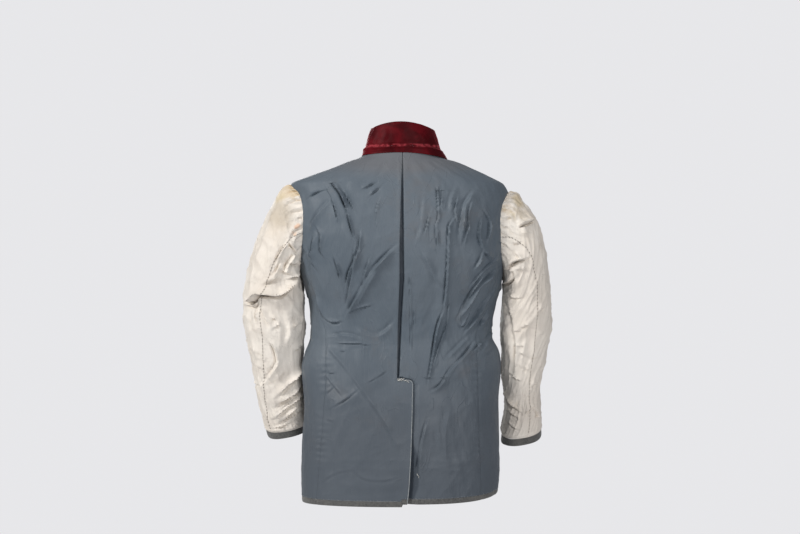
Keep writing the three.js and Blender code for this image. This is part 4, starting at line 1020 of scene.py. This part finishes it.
def sleeve_cloth(side, half, rings, columns):
    """Outer face of a sleeve half and its direction, from ring to ring."""
    seam = through(np.arange(LAST_RING + 1), SLEEVES[side][:, SLEEVE_NAMES.index("seam")], rings)[:, None]
    inset = np.degrees(SEAM * 0.5 / 60)
    share = np.linspace(0, 1, columns)
    first = -FRONT_SEAM_TURN + 0 * seam if half == "top" else seam
    last = seam if half == "top" else 360 - FRONT_SEAM_TURN + 0 * seam
    turn = first + inset + (last - first - 2 * inset) * share
    form = sleeve_form(side, rings[:, None], turn)
    around = sleeve_form(side, rings[:, None], turn + 1.5) - sleeve_form(side, rings[:, None], turn - 1.5)
    up = np.minimum(rings + 0.12, LAST_RING)[:, None]
    low = np.maximum(rings - 0.12, 0)[:, None]
    along = sleeve_form(side, up, turn) - sleeve_form(side, low, turn)
    normal = unit(np.cross(around, along) * -SIGN[side])
    step = np.linalg.norm(np.diff(form, axis=0), axis=-1)
    down = np.concatenate([np.zeros((1, columns)), np.cumsum(step, 0)], 0)
    return form, normal, turn, down


def sleeve_piece(side, half, material):
    """Lining of one sleeve half, its lower edge drawn in where it is felled to the cuff."""
    rings = spread((0, 1, 10), (1, 12, 120), (12, CUFF_RING, 64))
    form, normal, turn, down = sleeve_cloth(side, half, rings, 108 if half == "top" else 84)
    lift = sleeve_lift(side, turn, down, form)
    to_end = down[-1] - down
    roll = 1.5 * np.exp(-(((to_end - 4.5) / 3.2) ** 2)) - 0.3 * np.exp(-((to_end / 1.8) ** 2))
    lift = lift * ramp(0, 9, to_end) + roll
    outer = form + normal * lift[..., None]
    worn = np.exp(-down / 60) * ramp(-0.2, 0.6, np.cos(np.radians(turn)))
    marks = {"down": down, "worn": worn}
    return cloth_piece(f"sleeve_{half}_{side}_lining", outer, normal, SLEEVE_LINING, material, marks)


def cuff_piece(side, half, material):
    """Turned-up edge of the shell cloth at the wrist."""
    rings = np.linspace(CUFF_RING + CUFF_START, LAST_RING, 12)
    form, normal, turn, down = sleeve_cloth(side, half, rings, 60)
    lift = 0.35 * np.sin(turn / 9 + down / 7) - 0.2
    outer = form + normal * lift[..., None]
    return cloth_piece(f"cuff_{half}_{side}_turning", outer, normal, SHELL, material, round_edge=(0.3, 0.7))


def neck_point(u):
    """Neck seam from one front end round the nape to the other, u from -1 to 1."""
    turn = u * math.pi
    back = body_point(turn, 0.0)
    share = np.clip((np.abs(u) - 0.5) * 2, 0, 1)
    z = -NECK_DROP * np.sin(share * math.pi / 2)
    x = np.where(u > 0, neck_half("left", z), neck_half("right", z))
    front = body_point(theta_at_x(np.sign(u) * x, z, False), z)
    return np.where((np.abs(u) <= 0.5)[..., None], back, front)


def round_neck(sizes, u):
    """A size of the collar at the back, sides and front, blended by the turn."""
    back, side, front = sizes
    c = np.cos(np.abs(u) * math.pi)
    return side + (back - side) * np.maximum(0, c) ** 2 + (front - side) * np.maximum(0, -c) ** 2


def collar_piece(name, rows, lower, material):
    """Velvet collar: rows of the collar's profile carried round the neck seam."""
    q = np.linspace(-2, 2, 241)
    past = np.abs(q) - 1
    u = np.where(past <= 0, q / 2, np.sign(q) * (0.5 + past * (COLLAR_END - 0.5)))[None, :]
    keys = np.arange(len(COLLAR))
    up, push, lean = (through(keys, COLLAR[:, k], rows)[:, None] for k in range(3))
    base = neck_point(u)
    turn = u * math.pi
    out = np.stack([np.sin(turn), np.cos(turn), 0 * turn], -1)
    height = round_neck(COLLAR_HEIGHT, u) * up
    rise = np.where(rows == rows[0], lower, 0.0)[:, None] + height + SEAM + 0.2
    base_part = 1 - ramp(0, 0.26, up)
    wide = np.where(u > 0, 2.6, 9.5) * np.sin(turn) ** 2
    bead = 1.5 * np.exp(-(((height - 10.6) / 2.6) ** 2)) - 1.1 * np.exp(-(((height - 15.2) / 1.9) ** 2))
    bead = bead * (0.75 + 0.35 * np.sin(u * 31) + 0.2 * np.sin(u * 73 + 2))
    shift = push - round_neck(COLLAR_LEAN, u) * lean + wide * base_part + bead + 1.2 * ramp(3, 0, height)
    around = u * NECK_LENGTH
    wave = 0.5 * swell(around, height * 1.4, 23) * ramp(0, 6, height)
    dents = creases(COLLAR_CREASES, around + 0 * height, height + 0 * around) * ramp(0, 4, height)
    points = base + out * (shift + wave + dents)[..., None]
    sunk = (1.6 + np.where(u > 0, 0.4, 3.2) * np.sin(turn) ** 2) * base_part
    points[..., 2] += rise - sunk + 0.7 * np.sin(around / 15 + 1) * ramp(0.7, 1, up)
    nape = np.exp(-((around / 10) ** 4)) * base_part
    # The foot of the wall is thin, but reaches in over the neck edge, furthest at the pleat.
    thick = VELVET - (VELVET - 1.0) * ramp(5, 1.2, COLLAR_HEIGHT[0] * up)
    thick = thick + (wide + 1.4) * base_part + 2.3 * nape
    inward = out + 0 * points
    inward[..., 2] -= (sunk - 1.9 * nape) / thick
    return cloth_piece(name, points, inward, thick, material,
                       round_edge=(0.0, 0.1 if lower == 0 else 0.9))


# Dents of the collar: round the neck from the nape, and height above the neck seam.
COLLAR_CREASES = (
    ([(-46, 12), (-20, 14), (6, 12.5), (38, 14)], 3.2, 0.9, 0.8),
    ([(-44, 20), (-30, 31), (-24, 44)], 6, 1.0, 0.5),
    ([(30, 20), (24, 34), (28, 48)], 6, 0.9, 0.5),
    ([(-8, 22), (-2, 36), (-6, 50)], 8, 0.6, 0.4),
    ([(58, 10), (48, 22), (44, 38)], 5, 0.9, 0.6),
    ([(-66, 12), (-60, 26), (-58, 40)], 5, 0.9, 0.6),
)


def thread_mesh(name, paths, radius, material):
    """Short threads: a six-sided tube along each path, thin at both ends, all in one mesh."""
    points, quads = [], []
    ring = np.linspace(0, 2 * math.pi, 7)[:-1]
    for path in paths:
        p = np.asarray(path, float)
        run = unit(np.gradient(p, axis=0))
        side = unit(np.cross(run, np.array([0.13, 0.21, 0.97])))
        over = np.cross(side, run)
        thick = radius * np.concatenate([[0.25], np.ones(len(p) - 2), [0.25]])[:, None, None]
        loop = side[:, None] * np.cos(ring)[:, None] + over[:, None] * np.sin(ring)[:, None]
        start = sum(len(x) for x in points)
        tube = (p[:, None] + thick * loop).reshape(-1, 3)
        i, j = np.meshgrid(np.arange(len(p) - 1), np.arange(6), indexing="ij")
        a, b = start + i * 6 + j, start + i * 6 + (j + 1) % 6
        quads.append(np.stack([a, b, b + 6, a + 6], -1).reshape(-1, 4))
        ends = start + len(p) * 6
        points += [tube, p[[0, -1]]]
        j = np.arange(6)
        k = (j + 1) % 6
        first, last = np.full(6, ends), np.full(6, ends + 1)
        quads.append(np.stack([start + k, start + j, first, first], -1))
        tip = start + (len(p) - 1) * 6
        quads.append(np.stack([tip + j, tip + k, last, last], -1))
    faces = [list(dict.fromkeys(q)) for q in np.concatenate(quads).tolist()]
    mesh = bpy.data.meshes.new(name)
    mesh.from_pydata((np.concatenate(points) * MM).tolist(), [], faces)
    mesh.shade_smooth()
    return add_piece(name, mesh, material)


def sleeve_seam_line(side, half):
    """Points along the last edge of a sleeve half every millimetre or so, just above the cloth."""
    rings = spread((0.2, CUFF_RING - 0.05, 460))
    form, normal, turn, down = sleeve_cloth(side, half, rings, 60)
    rise = sleeve_lift(side, turn, down, form)
    return form[:, -1] + normal[:, -1] * (rise[:, -1] + 0.5)[:, None]


def stitches(line, size, gap, slant, seed):
    """Stitches along a line of points: short arcs of the line, each turned a little across it."""
    rng = np.random.default_rng(seed)
    run = np.concatenate([[0], np.cumsum(np.linalg.norm(np.diff(line, axis=0), axis=1))])
    way = unit(np.gradient(line, axis=0))
    across = unit(np.cross(way, np.array([0.0, 1.0, 0.0])))
    starts = np.arange(gap * 0.5, run[-1] - size - gap, gap)
    starts = starts + rng.uniform(-0.12, 0.12, len(starts)) * gap
    paths = []
    for start, lean in zip(starts, slant * rng.uniform(0.6, 1.3, len(starts))):
        at = np.linspace(start, start + size, 4)
        p = np.stack([np.interp(at, run, line[:, k]) for k in range(3)], -1)
        aside = np.stack([np.interp(at, run, across[:, k]) for k in range(3)], -1)
        paths.append(p + aside * np.linspace(-0.5, 0.5, 4)[:, None] * lean)
    return paths


def on_back(x, z, above):
    """Points on the outer face of the back at (x, z)."""
    x, z = np.asarray(x, float), np.asarray(z, float)
    points, normal = body_cloth(theta_at_x(x, z, True), z)
    return points + normal * np.reshape(above, (-1, 1))


def vent_binding(material):
    """Pale edge of the vent's extension: along its top, round the corner and down to the hem."""
    corner = 1 - np.cos(np.linspace(0.3, math.pi / 2, 9))
    z = np.concatenate([
        np.full(12, VENT_TOP - 0.3), VENT_TOP - VENT_CORNER * corner,
        np.linspace(VENT_TOP - VENT_CORNER - 3, HEM_LEVEL + 1, 90),
    ])
    x = np.concatenate([np.linspace(8.5, -10.4, 12), vent_line("over", z[12:])]) + 0.15
    return thread_mesh("vent_edge", [on_back(x, z, 0.1)], 0.7, material)


def pleat_bar(material):
    """Tacks that close the foot of the pleat, crossed stitches of white thread, and one loose
    end of the same thread below them near the hem."""
    paths = []
    for x0, z0, x1, z1 in (
        (9.5, -441.5, 4.5, -446.5), (6.5, -440.8, 0.5, -445.8), (3.0, -440.6, -2.5, -444.2),
        (9.0, -446.0, 2.0, -443.0), (1.5, -444.6, -5.0, -441.4), (-4.0, -446.2, -9.5, -444.8),
        (-9.0, -446.6, -14.0, -449.5),
    ):
        t = np.linspace(0, 1, 6)
        x, z = x0 + (x1 - x0) * t, z0 + (z1 - z0) * t
        paths.append(on_back(x, z, 1.2 + 1.1 * np.sin(t * math.pi)))
    t = np.linspace(0, 1, 9)
    x, z = -29.5 - 2.5 * t + 1.2 * np.sin(7 * t), -626 - 9 * t
    paths.append(on_back(x, z, 0.8 + 0.8 * np.sin(t * math.pi)))
    return thread_mesh("white_tacks", paths, 0.55, material)


def fell_line(part, side):
    """The line where the lining is felled down above the hem, on one panel."""
    z = np.full(240, BODY_BOTTOM + 1.2)
    sign = SIGN[side]
    if part == "back":
        start = theta_at_x(vent_line("over", z) if side == "left" else -22 + 0 * z, z, True)[0]
        stop = panel_edge(side, z, True)[0]
    else:
        start = panel_edge(side, z, True)[0]
        stop = theta_at_x(sign * facing_line(side, z), z, False)[0]
    theta = np.linspace(start, stop, 240)
    points, normal = body_cloth(theta, z)
    return points + normal * 0.35


def cuff_fell_line(side):
    """The line where the sleeve lining is felled to the cuff, all round."""
    lines = []
    for half in ("top", "under"):
        form, normal, *_ = sleeve_cloth(side, half, np.array([15.80, 15.86]), 120)
        lines.append((form + normal * 1.35)[0])
    return lines


def feed(tree, socket, value):
    """Gives an input its value, or links another node's output to it."""
    if isinstance(value, bpy.types.NodeSocket):
        tree.links.new(value, socket)
    else:
        socket.default_value = value


def add(tree, kind, values=None, **settings):
    """A shader node with its settings and inputs: an input is a value or another node's output."""
    node = tree.nodes.new("ShaderNode" + kind)
    for name, value in settings.items():
        setattr(node, name, value)
    for name, value in (values or {}).items():
        feed(tree, node.inputs[name], value)
    return node


def blend_colour(tree, share, first, second):
    """A mix of two colours by a share from 0 to 1."""
    node = add(tree, "Mix", data_type="RGBA", blend_type="MIX")
    for number, value in ((0, share), (6, first), (7, second)):
        feed(tree, node.inputs[number], value)
    return node.outputs[2]


def steps(tree, value, start, stop, low=0.0, high=1.0):
    """A value stretched from start..stop to low..high with a soft ramp."""
    node = add(tree, "MapRange", {"Value": value, "From Min": start, "From Max": stop,
                                  "To Min": low, "To Max": high}, interpolation_type="SMOOTHSTEP")
    return node.outputs["Result"]


def noise(tree, vector, scale, detail=3.0, rough=0.55, stretch=None, distortion=0.0):
    """Noise at a scale, its pattern stretched by a mapping where the cloth has a grain."""
    if stretch is not None:
        vector = add(tree, "Mapping", {"Vector": vector, "Scale": stretch}).outputs[0]
    return add(tree, "TexNoise", {"Vector": vector, "Scale": scale, "Detail": detail,
                                  "Roughness": rough, "Distortion": distortion}).outputs[0]


def srgb(r, g, b):
    """Screen colour 0-255 as a linear colour."""
    c = np.array([r, g, b]) / 255
    lin = np.where(c <= 0.04045, c / 12.92, ((c + 0.055) / 1.055) ** 2.4)
    return (*lin.tolist(), 1.0)


def new_finish(name, roughness, specular, sheen, sheen_colour, sheen_rough=0.4):
    """A material with its even values on the shader itself; returns its tree and shader."""
    material = bpy.data.materials.new(name)
    material.use_nodes = True
    tree = material.node_tree
    shader = tree.nodes["Principled BSDF"]
    shader.inputs["Roughness"].default_value = roughness
    shader.inputs["Specular IOR Level"].default_value = specular
    shader.inputs["Sheen Weight"].default_value = sheen
    shader.inputs["Sheen Roughness"].default_value = sheen_rough
    shader.inputs["Sheen Tint"].default_value = sheen_colour
    return material, tree, shader


def bump(tree, shader, layers):
    """Bumps laid over each other, each a height, its depth in metres and its strength."""
    normal = None
    for height, depth, strength in layers:
        values = {"Height": height, "Distance": depth, "Strength": strength}
        if normal is not None:
            values["Normal"] = normal
        normal = add(tree, "Bump", values).outputs[0]
    tree.links.new(normal, shader.inputs["Normal"])


def wrinkles(tree, place, scale, stretch, thin):
    """Sharp little creases: lines where a noise passes its middle value, kept to patches."""
    middle = add(tree, "Math", {0: noise(tree, place, scale, 1.6, 0.5, stretch, 0.9), 1: 0.5},
                 operation="SUBTRACT").outputs[0]
    line = steps(tree, add(tree, "Math", {0: middle}, operation="ABSOLUTE").outputs[0], 0, thin, 1, 0)
    patch = steps(tree, noise(tree, place, scale * 0.55, 2.0, 0.5), 0.42, 0.6)
    return add(tree, "Math", {0: line, 1: patch}, operation="MULTIPLY").outputs[0]


def weave(tree, cloth, across, down):
    """Threads of the cloth: crossed fine waves along its two directions, multiplied."""
    warp = add(tree, "TexWave", {"Vector": cloth, "Scale": across, "Distortion": 0.6, "Detail": 1.0},
               wave_type="BANDS", bands_direction="X").outputs[1]
    weft = add(tree, "TexWave", {"Vector": cloth, "Scale": down, "Distortion": 0.6, "Detail": 1.0},
               wave_type="BANDS", bands_direction="Y").outputs[1]
    return add(tree, "Math", {0: warp, 1: weft}, operation="MULTIPLY").outputs[0]


def lining_finish():
    """Blue-grey polished lining: weft streaks, slow changes of colour, grey where it rubs, darker towards
    the hem, and painted shade in the pleat and beneath the vent's edge.
    """
    material, tree, shader = new_finish("lining_cloth", 0.55, 0.36, 0.1, (0.75, 0.82, 0.92, 1))
    place = add(tree, "TexCoord").outputs["Object"]
    cloth = add(tree, "UVMap", uv_map="cloth").outputs[0]
    slow = noise(tree, place, 7.0, 4.0, 0.6)
    colour = blend_colour(tree, steps(tree, slow, 0.34, 0.66), srgb(80, 91, 101), srgb(92, 102, 111))
    warm = noise(tree, place, 13.0, 5.0, 0.62)
    colour = blend_colour(tree, steps(tree, warm, 0.56, 0.76, 0, 0.4), colour, srgb(101, 97, 96))
    streak = noise(tree, cloth, 1.0, 3.0, 0.6, (900, 26, 1))
    colour = blend_colour(tree, steps(tree, streak, 0.3, 0.7, 0, 0.16), colour, srgb(122, 128, 134))
    fleck = noise(tree, cloth, 1.0, 2.0, 0.7, (260, 1400, 1))
    colour = blend_colour(tree, steps(tree, fleck, 0.3, 0.7, 0, 0.13), colour, srgb(62, 70, 80))
    fade = add(tree, "Attribute", attribute_name="fade").outputs["Fac"]
    colour = blend_colour(tree, steps(tree, fade, 0, 1, 0, 0.62), colour, srgb(104, 103, 105))
    # Darker towards the hem.
    level = add(tree, "SeparateXYZ", {0: place}).outputs["Z"]
    colour = blend_colour(tree, steps(tree, level, -0.32, -0.56, 0, 0.6), colour, srgb(72, 77, 84))
    # Painted shade: the 'deep' mark turns the cloth dark blue inside the pleat and beneath the vent's edge.
    deep = add(tree, "Attribute", attribute_name="deep").outputs["Fac"]
    colour = blend_colour(tree, deep, colour, srgb(48, 56, 65))
    tree.links.new(colour, shader.inputs["Base Color"])
    gloss = steps(tree, noise(tree, place, 24.0, 3.0), 0.3, 0.7, 0.48, 0.62)
    tree.links.new(gloss, shader.inputs["Roughness"])
    bump(tree, shader, [
        (wrinkles(tree, place, 24, (1, 1, 0.5), 0.018), 0.0009, 0.45),
        (noise(tree, place, 60, 3.0, 0.55, (1, 1, 0.4), 0.4), 0.0005, 0.25),
        (noise(tree, place, 210, 2.0, 0.5, (1, 1, 0.5)), 0.0003, 0.4),
        (weave(tree, cloth, 420, 380), 0.00006, 0.35),
    ])
    return material


def sleeve_finish():
    """Cream cotton sleeve lining: creased, with tide marks, yellowing where it was worn and one patch of
    painted shade high on the left sleeve.
    """
    material, tree, shader = new_finish("sleeve_cloth", 0.62, 0.3, 0.1, (1, 0.96, 0.9, 1))
    place = add(tree, "TexCoord").outputs["Object"]
    cloth = add(tree, "UVMap", uv_map="cloth").outputs[0]
    slow = noise(tree, place, 9.0, 4.0, 0.6)
    colour = blend_colour(tree, steps(tree, slow, 0.32, 0.68), srgb(224, 215, 204), srgb(239, 232, 222))
    soil = noise(tree, place, 21.0, 5.0, 0.66, None, 0.7)
    colour = blend_colour(tree, steps(tree, soil, 0.56, 0.74, 0, 0.4), colour, srgb(194, 178, 158))
    streak = noise(tree, cloth, 1.0, 2.0, 0.6, (1000, 40, 1))
    colour = blend_colour(tree, steps(tree, streak, 0.3, 0.7, 0, 0.12), colour, srgb(164, 156, 146))
    worn = add(tree, "Attribute", attribute_name="worn").outputs["Fac"]
    patch = add(tree, "Math", {0: worn, 1: steps(tree, noise(tree, place, 30, 4.0), 0.42, 0.66)},
                operation="MULTIPLY").outputs[0]
    colour = blend_colour(tree, steps(tree, patch, 0, 1, 0, 0.8), colour, srgb(206, 184, 148))
    # Soft-edged discs of colour: the stains, and one patch of painted shade.
    for centre, size, tint in STAINS_AND_PAINTED_SHADE:
        gap = add(tree, "VectorMath", {0: place, 1: tuple(c * MM for c in centre)}, operation="DISTANCE")
        edge = add(tree, "Math", {0: gap.outputs["Value"], 1: steps(tree, soil, 0.3, 0.7, -0.004, 0.004)},
                   operation="ADD").outputs[0]
        share = steps(tree, edge, size * MM, size * 0.35 * MM, 0, 0.75)
        colour = blend_colour(tree, share, colour, srgb(*tint))
    tree.links.new(colour, shader.inputs["Base Color"])
    bump(tree, shader, [
        (wrinkles(tree, place, 30, (1, 1, 1.5), 0.028), 0.0013, 0.5),
        (wrinkles(tree, place, 62, (1, 1, 1.3), 0.035), 0.0008, 0.55),
        (noise(tree, place, 52, 3.0, 0.6, None, 0.6), 0.001, 0.45),
        (noise(tree, place, 170, 2.0, 0.5), 0.0005, 0.6),
        (weave(tree, cloth, 380, 360), 0.00007, 0.4),
    ])
    return material


# Stains of the sleeve lining, and one patch of painted shade: where, how wide and their colour.
STAINS_AND_PAINTED_SHADE = (
    ((205, -12, -146), 8, (226, 184, 152)),
    ((210, -10, -158), 7, (220, 182, 150)),
    ((236, -50, -92), 20, (203, 186, 150)),
    # Painted shade, not a stain: the wide dull patch high on the outer left sleeve.
    ((246, -22, -118), 40, (190, 178, 160)),
    ((-232, -48, -92), 20, (200, 182, 148)),
    ((-216, -30, -128), 16, (208, 192, 160)),
    ((250, -40, -250), 15, (196, 180, 156)),
    ((-262, -50, -480), 18, (196, 184, 164)),
)


def velvet_finish():
    """Dark red velvet: the pile lies in patches, has a painted highlight along the roll line and glows at
    its edges.
    """
    material, tree, shader = new_finish("velvet_pile", 0.5, 0.07, 0.75, (0.9, 0.09, 0.14, 1), 0.28)
    place = add(tree, "TexCoord").outputs["Object"]
    lie = noise(tree, place, 22.0, 3.0, 0.55, (1, 1, 1.3), 0.6)
    colour = blend_colour(tree, steps(tree, lie, 0.36, 0.66), srgb(60, 4, 9), srgb(90, 8, 18))
    # Painted highlight: a pale pink band along the roll line, broken into patches.
    level = add(tree, "SeparateXYZ", {0: place}).outputs["Z"]
    up = steps(tree, level, 0.008, 0.0125)
    down = steps(tree, level, 0.0185, 0.0135)
    fold = add(tree, "Math", {0: up, 1: down}, operation="MULTIPLY").outputs[0]
    roll_highlight = add(tree, "Math", {0: fold, 1: steps(tree, noise(tree, place, 60, 4.0), 0.4, 0.62)},
              operation="MULTIPLY").outputs[0]
    colour = blend_colour(tree, steps(tree, roll_highlight, 0, 1, 0, 0.7), colour, srgb(168, 66, 74))
    tree.links.new(colour, shader.inputs["Base Color"])
    bump(tree, shader, [
        (noise(tree, place, 70, 3.0, 0.6), 0.0011, 0.5),
        (noise(tree, place, 900, 2.0, 0.7), 0.00025, 0.6),
    ])
    return material


def shell_finish():
    """Grey milled wool of the coat itself, turned up at hem and wrist: dense short fibres."""
    material, tree, shader = new_finish("shell_wool", 0.9, 0.12, 0.35, (0.8, 0.8, 0.78, 1), 0.5)
    place = add(tree, "TexCoord").outputs["Object"]
    cloth = add(tree, "UVMap", uv_map="cloth").outputs[0]
    fibre = noise(tree, place, 520, 3.0, 0.7, (1, 1, 0.6))
    colour = blend_colour(tree, steps(tree, fibre, 0.3, 0.7), srgb(70, 70, 70), srgb(104, 104, 102))
    slow = noise(tree, place, 18, 4.0, 0.6)
    colour = blend_colour(tree, steps(tree, slow, 0.5, 0.72, 0, 0.45), colour, srgb(120, 118, 113))
    tree.links.new(colour, shader.inputs["Base Color"])
    bump(tree, shader, [
        (noise(tree, place, 90, 3.0, 0.6), 0.0006, 0.5),
        (fibre, 0.0003, 0.6),
        (weave(tree, cloth, 190, 190), 0.0001, 0.25),
    ])
    return material


def thread_finish(name, first, second):
    """Spun thread: its colour varies along it, with a fine twist in the bump."""
    material, tree, shader = new_finish(name, 0.75, 0.25, 0.2, (1, 1, 1, 1))
    place = add(tree, "TexCoord").outputs["Object"]
    colour = blend_colour(tree, steps(tree, noise(tree, place, 160, 3.0), 0.35, 0.65), first, second)
    tree.links.new(colour, shader.inputs["Base Color"])
    bump(tree, shader, [(noise(tree, place, 2600, 1.0), 0.0001, 0.5)])
    return material


def declare(node):
    """Hides the imported part that a cloth piece now stands in for."""
    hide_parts(node)


def make_jacket():
    """Every piece of the jacket, seam by seam."""
    lining, sleeve = lining_finish(), sleeve_finish()
    velvet, shell = velvet_finish(), shell_finish()
    pale = thread_finish("pale_thread", srgb(206, 204, 198), srgb(178, 176, 170))
    dark = thread_finish("grey_thread", srgb(88, 80, 71), srgb(116, 106, 94))
    edge = thread_finish("vent_edge_cloth", srgb(136, 142, 146), srgb(158, 160, 160))
    stand = collar_piece("collar_stand_velvet", np.linspace(0, ROLL_ROW, 22), 0.0, velvet)
    declare("collar_stand")
    fall = collar_piece("collar_fall_velvet", np.linspace(ROLL_ROW, len(COLLAR) - 1, 60), 0.05, velvet)
    declare("collar_fall")
    for side in SIDES:
        for part, make in (("back", back_panel), ("side", side_panel), ("front", front_panel)):
            piece = make(side, lining)
            declare(f"{part}_{side}")
            band = hem_band(part, side, shell)
            declare(f"hem_{part}_{side}")
        piece = facing(side, shell)
        declare(f"facing_{side}")
        for half in ("top", "under"):
            piece = sleeve_piece(side, half, sleeve)
            declare(f"sleeve_{half}_{side}")
            cuff = cuff_piece(side, half, shell)
            declare(f"cuff_{half}_{side}")
    vent_binding(edge)
    pleat_bar(pale)
    for side in SIDES:
        seams = []
        for half in ("top", "under"):
            seams += stitches(sleeve_seam_line(side, half), 3.8, 6.8, 1.4, 31)
        thread_mesh(f"sleeve_stitches_{side}", seams, 0.6, dark)
        hems = []
        for part in ("back", "front"):
            hems += stitches(fell_line(part, side), 2.4, 6.5, 2.2, 37)
        thread_mesh(f"hem_stitches_{side}", hems, 0.22, edge)
        cuffs = []
        for line in cuff_fell_line(side):
            cuffs += stitches(line, 2.2, 5.0, 2.4, 41)
        thread_mesh(f"cuff_stitches_{side}", cuffs, 0.22, pale)


def area_light(name, place, aim, size, power, colour):
    """A soft square light at a place, turned to the point it lights."""
    data = bpy.data.lights.new(name, "AREA")
    data.shape, data.size, data.energy, data.color = "SQUARE", size, power, colour
    lamp = bpy.data.objects.new(name, data)
    bpy.context.scene.collection.objects.link(lamp)
    away = np.array(aim, float) - np.array(place, float)
    tilt = math.atan2(math.hypot(away[0], away[1]), -away[2])
    lamp.location = place
    lamp.rotation_euler = (tilt, 0, math.atan2(-away[0], away[1]))


def studio():
    """Pale floor and air, two soft lights beside the camera, one above, one on the jacket's
    front, and the camera."""
    scene = bpy.context.scene
    scene.view_settings.view_transform = "Standard"
    world = bpy.data.worlds.new("pale_air")
    world.use_nodes = True
    air = world.node_tree.nodes["Background"]
    air.inputs["Color"].default_value = (0.80, 0.80, 0.82, 1)
    seen = add(world.node_tree, "LightPath").outputs["Is Camera Ray"]
    strength = add(world.node_tree, "MapRange", {"Value": seen, "To Min": 0.36, "To Max": 1.0})
    world.node_tree.links.new(strength.outputs["Result"], air.inputs["Strength"])
    scene.world = world
    floor = bpy.data.meshes.new("floor")
    turn = np.linspace(0, 2 * math.pi, 97)[:-1]
    floor.from_pydata([(3.6 * math.cos(t), 3.6 * math.sin(t), -1.55) for t in turn], [], [list(range(96))])
    paint, tree, shader = new_finish("floor_paint", 0.85, 0.1, 0, (1, 1, 1, 1))
    grain = noise(tree, add(tree, "TexCoord").outputs["Object"], 4.0, 4.0)
    tree.links.new(blend_colour(tree, grain, (0.74, 0.74, 0.75, 1), (0.8, 0.8, 0.81, 1)),
                   shader.inputs["Base Color"])
    floor.materials.append(paint)
    ground = bpy.data.objects.new("floor", floor)
    scene.collection.objects.link(ground)
    area_light("left_softbox", (2.5, 1.6, 1.2), (0, 0, -0.35), 0.7, 66, (1, 0.99, 0.97))
    area_light("right_softbox", (-1.1, 3.0, 0.3), (-0.1, 0, -0.3), 0.9, 37, (0.99, 0.99, 1))
    area_light("top_softbox", (0.2, 1.1, 2.2), (0, 0, -0.2), 1.3, 10, (1, 1, 1))
    area_light("front_softbox", (0.9, -2.8, 0.2), (0, 0, -0.35), 1.4, 26, (1, 1, 1))
    lens = bpy.data.cameras.new("camera")
    lens.lens, lens.sensor_width = 76.5, 36
    camera = bpy.data.objects.new("camera", lens)
    camera.location = (4 * MM, 3320 * MM, -225 * MM)
    camera.rotation_euler = (math.pi / 2, 0, math.pi)
    scene.collection.objects.link(camera)
    scene.camera = camera


make_jacket()
studio()
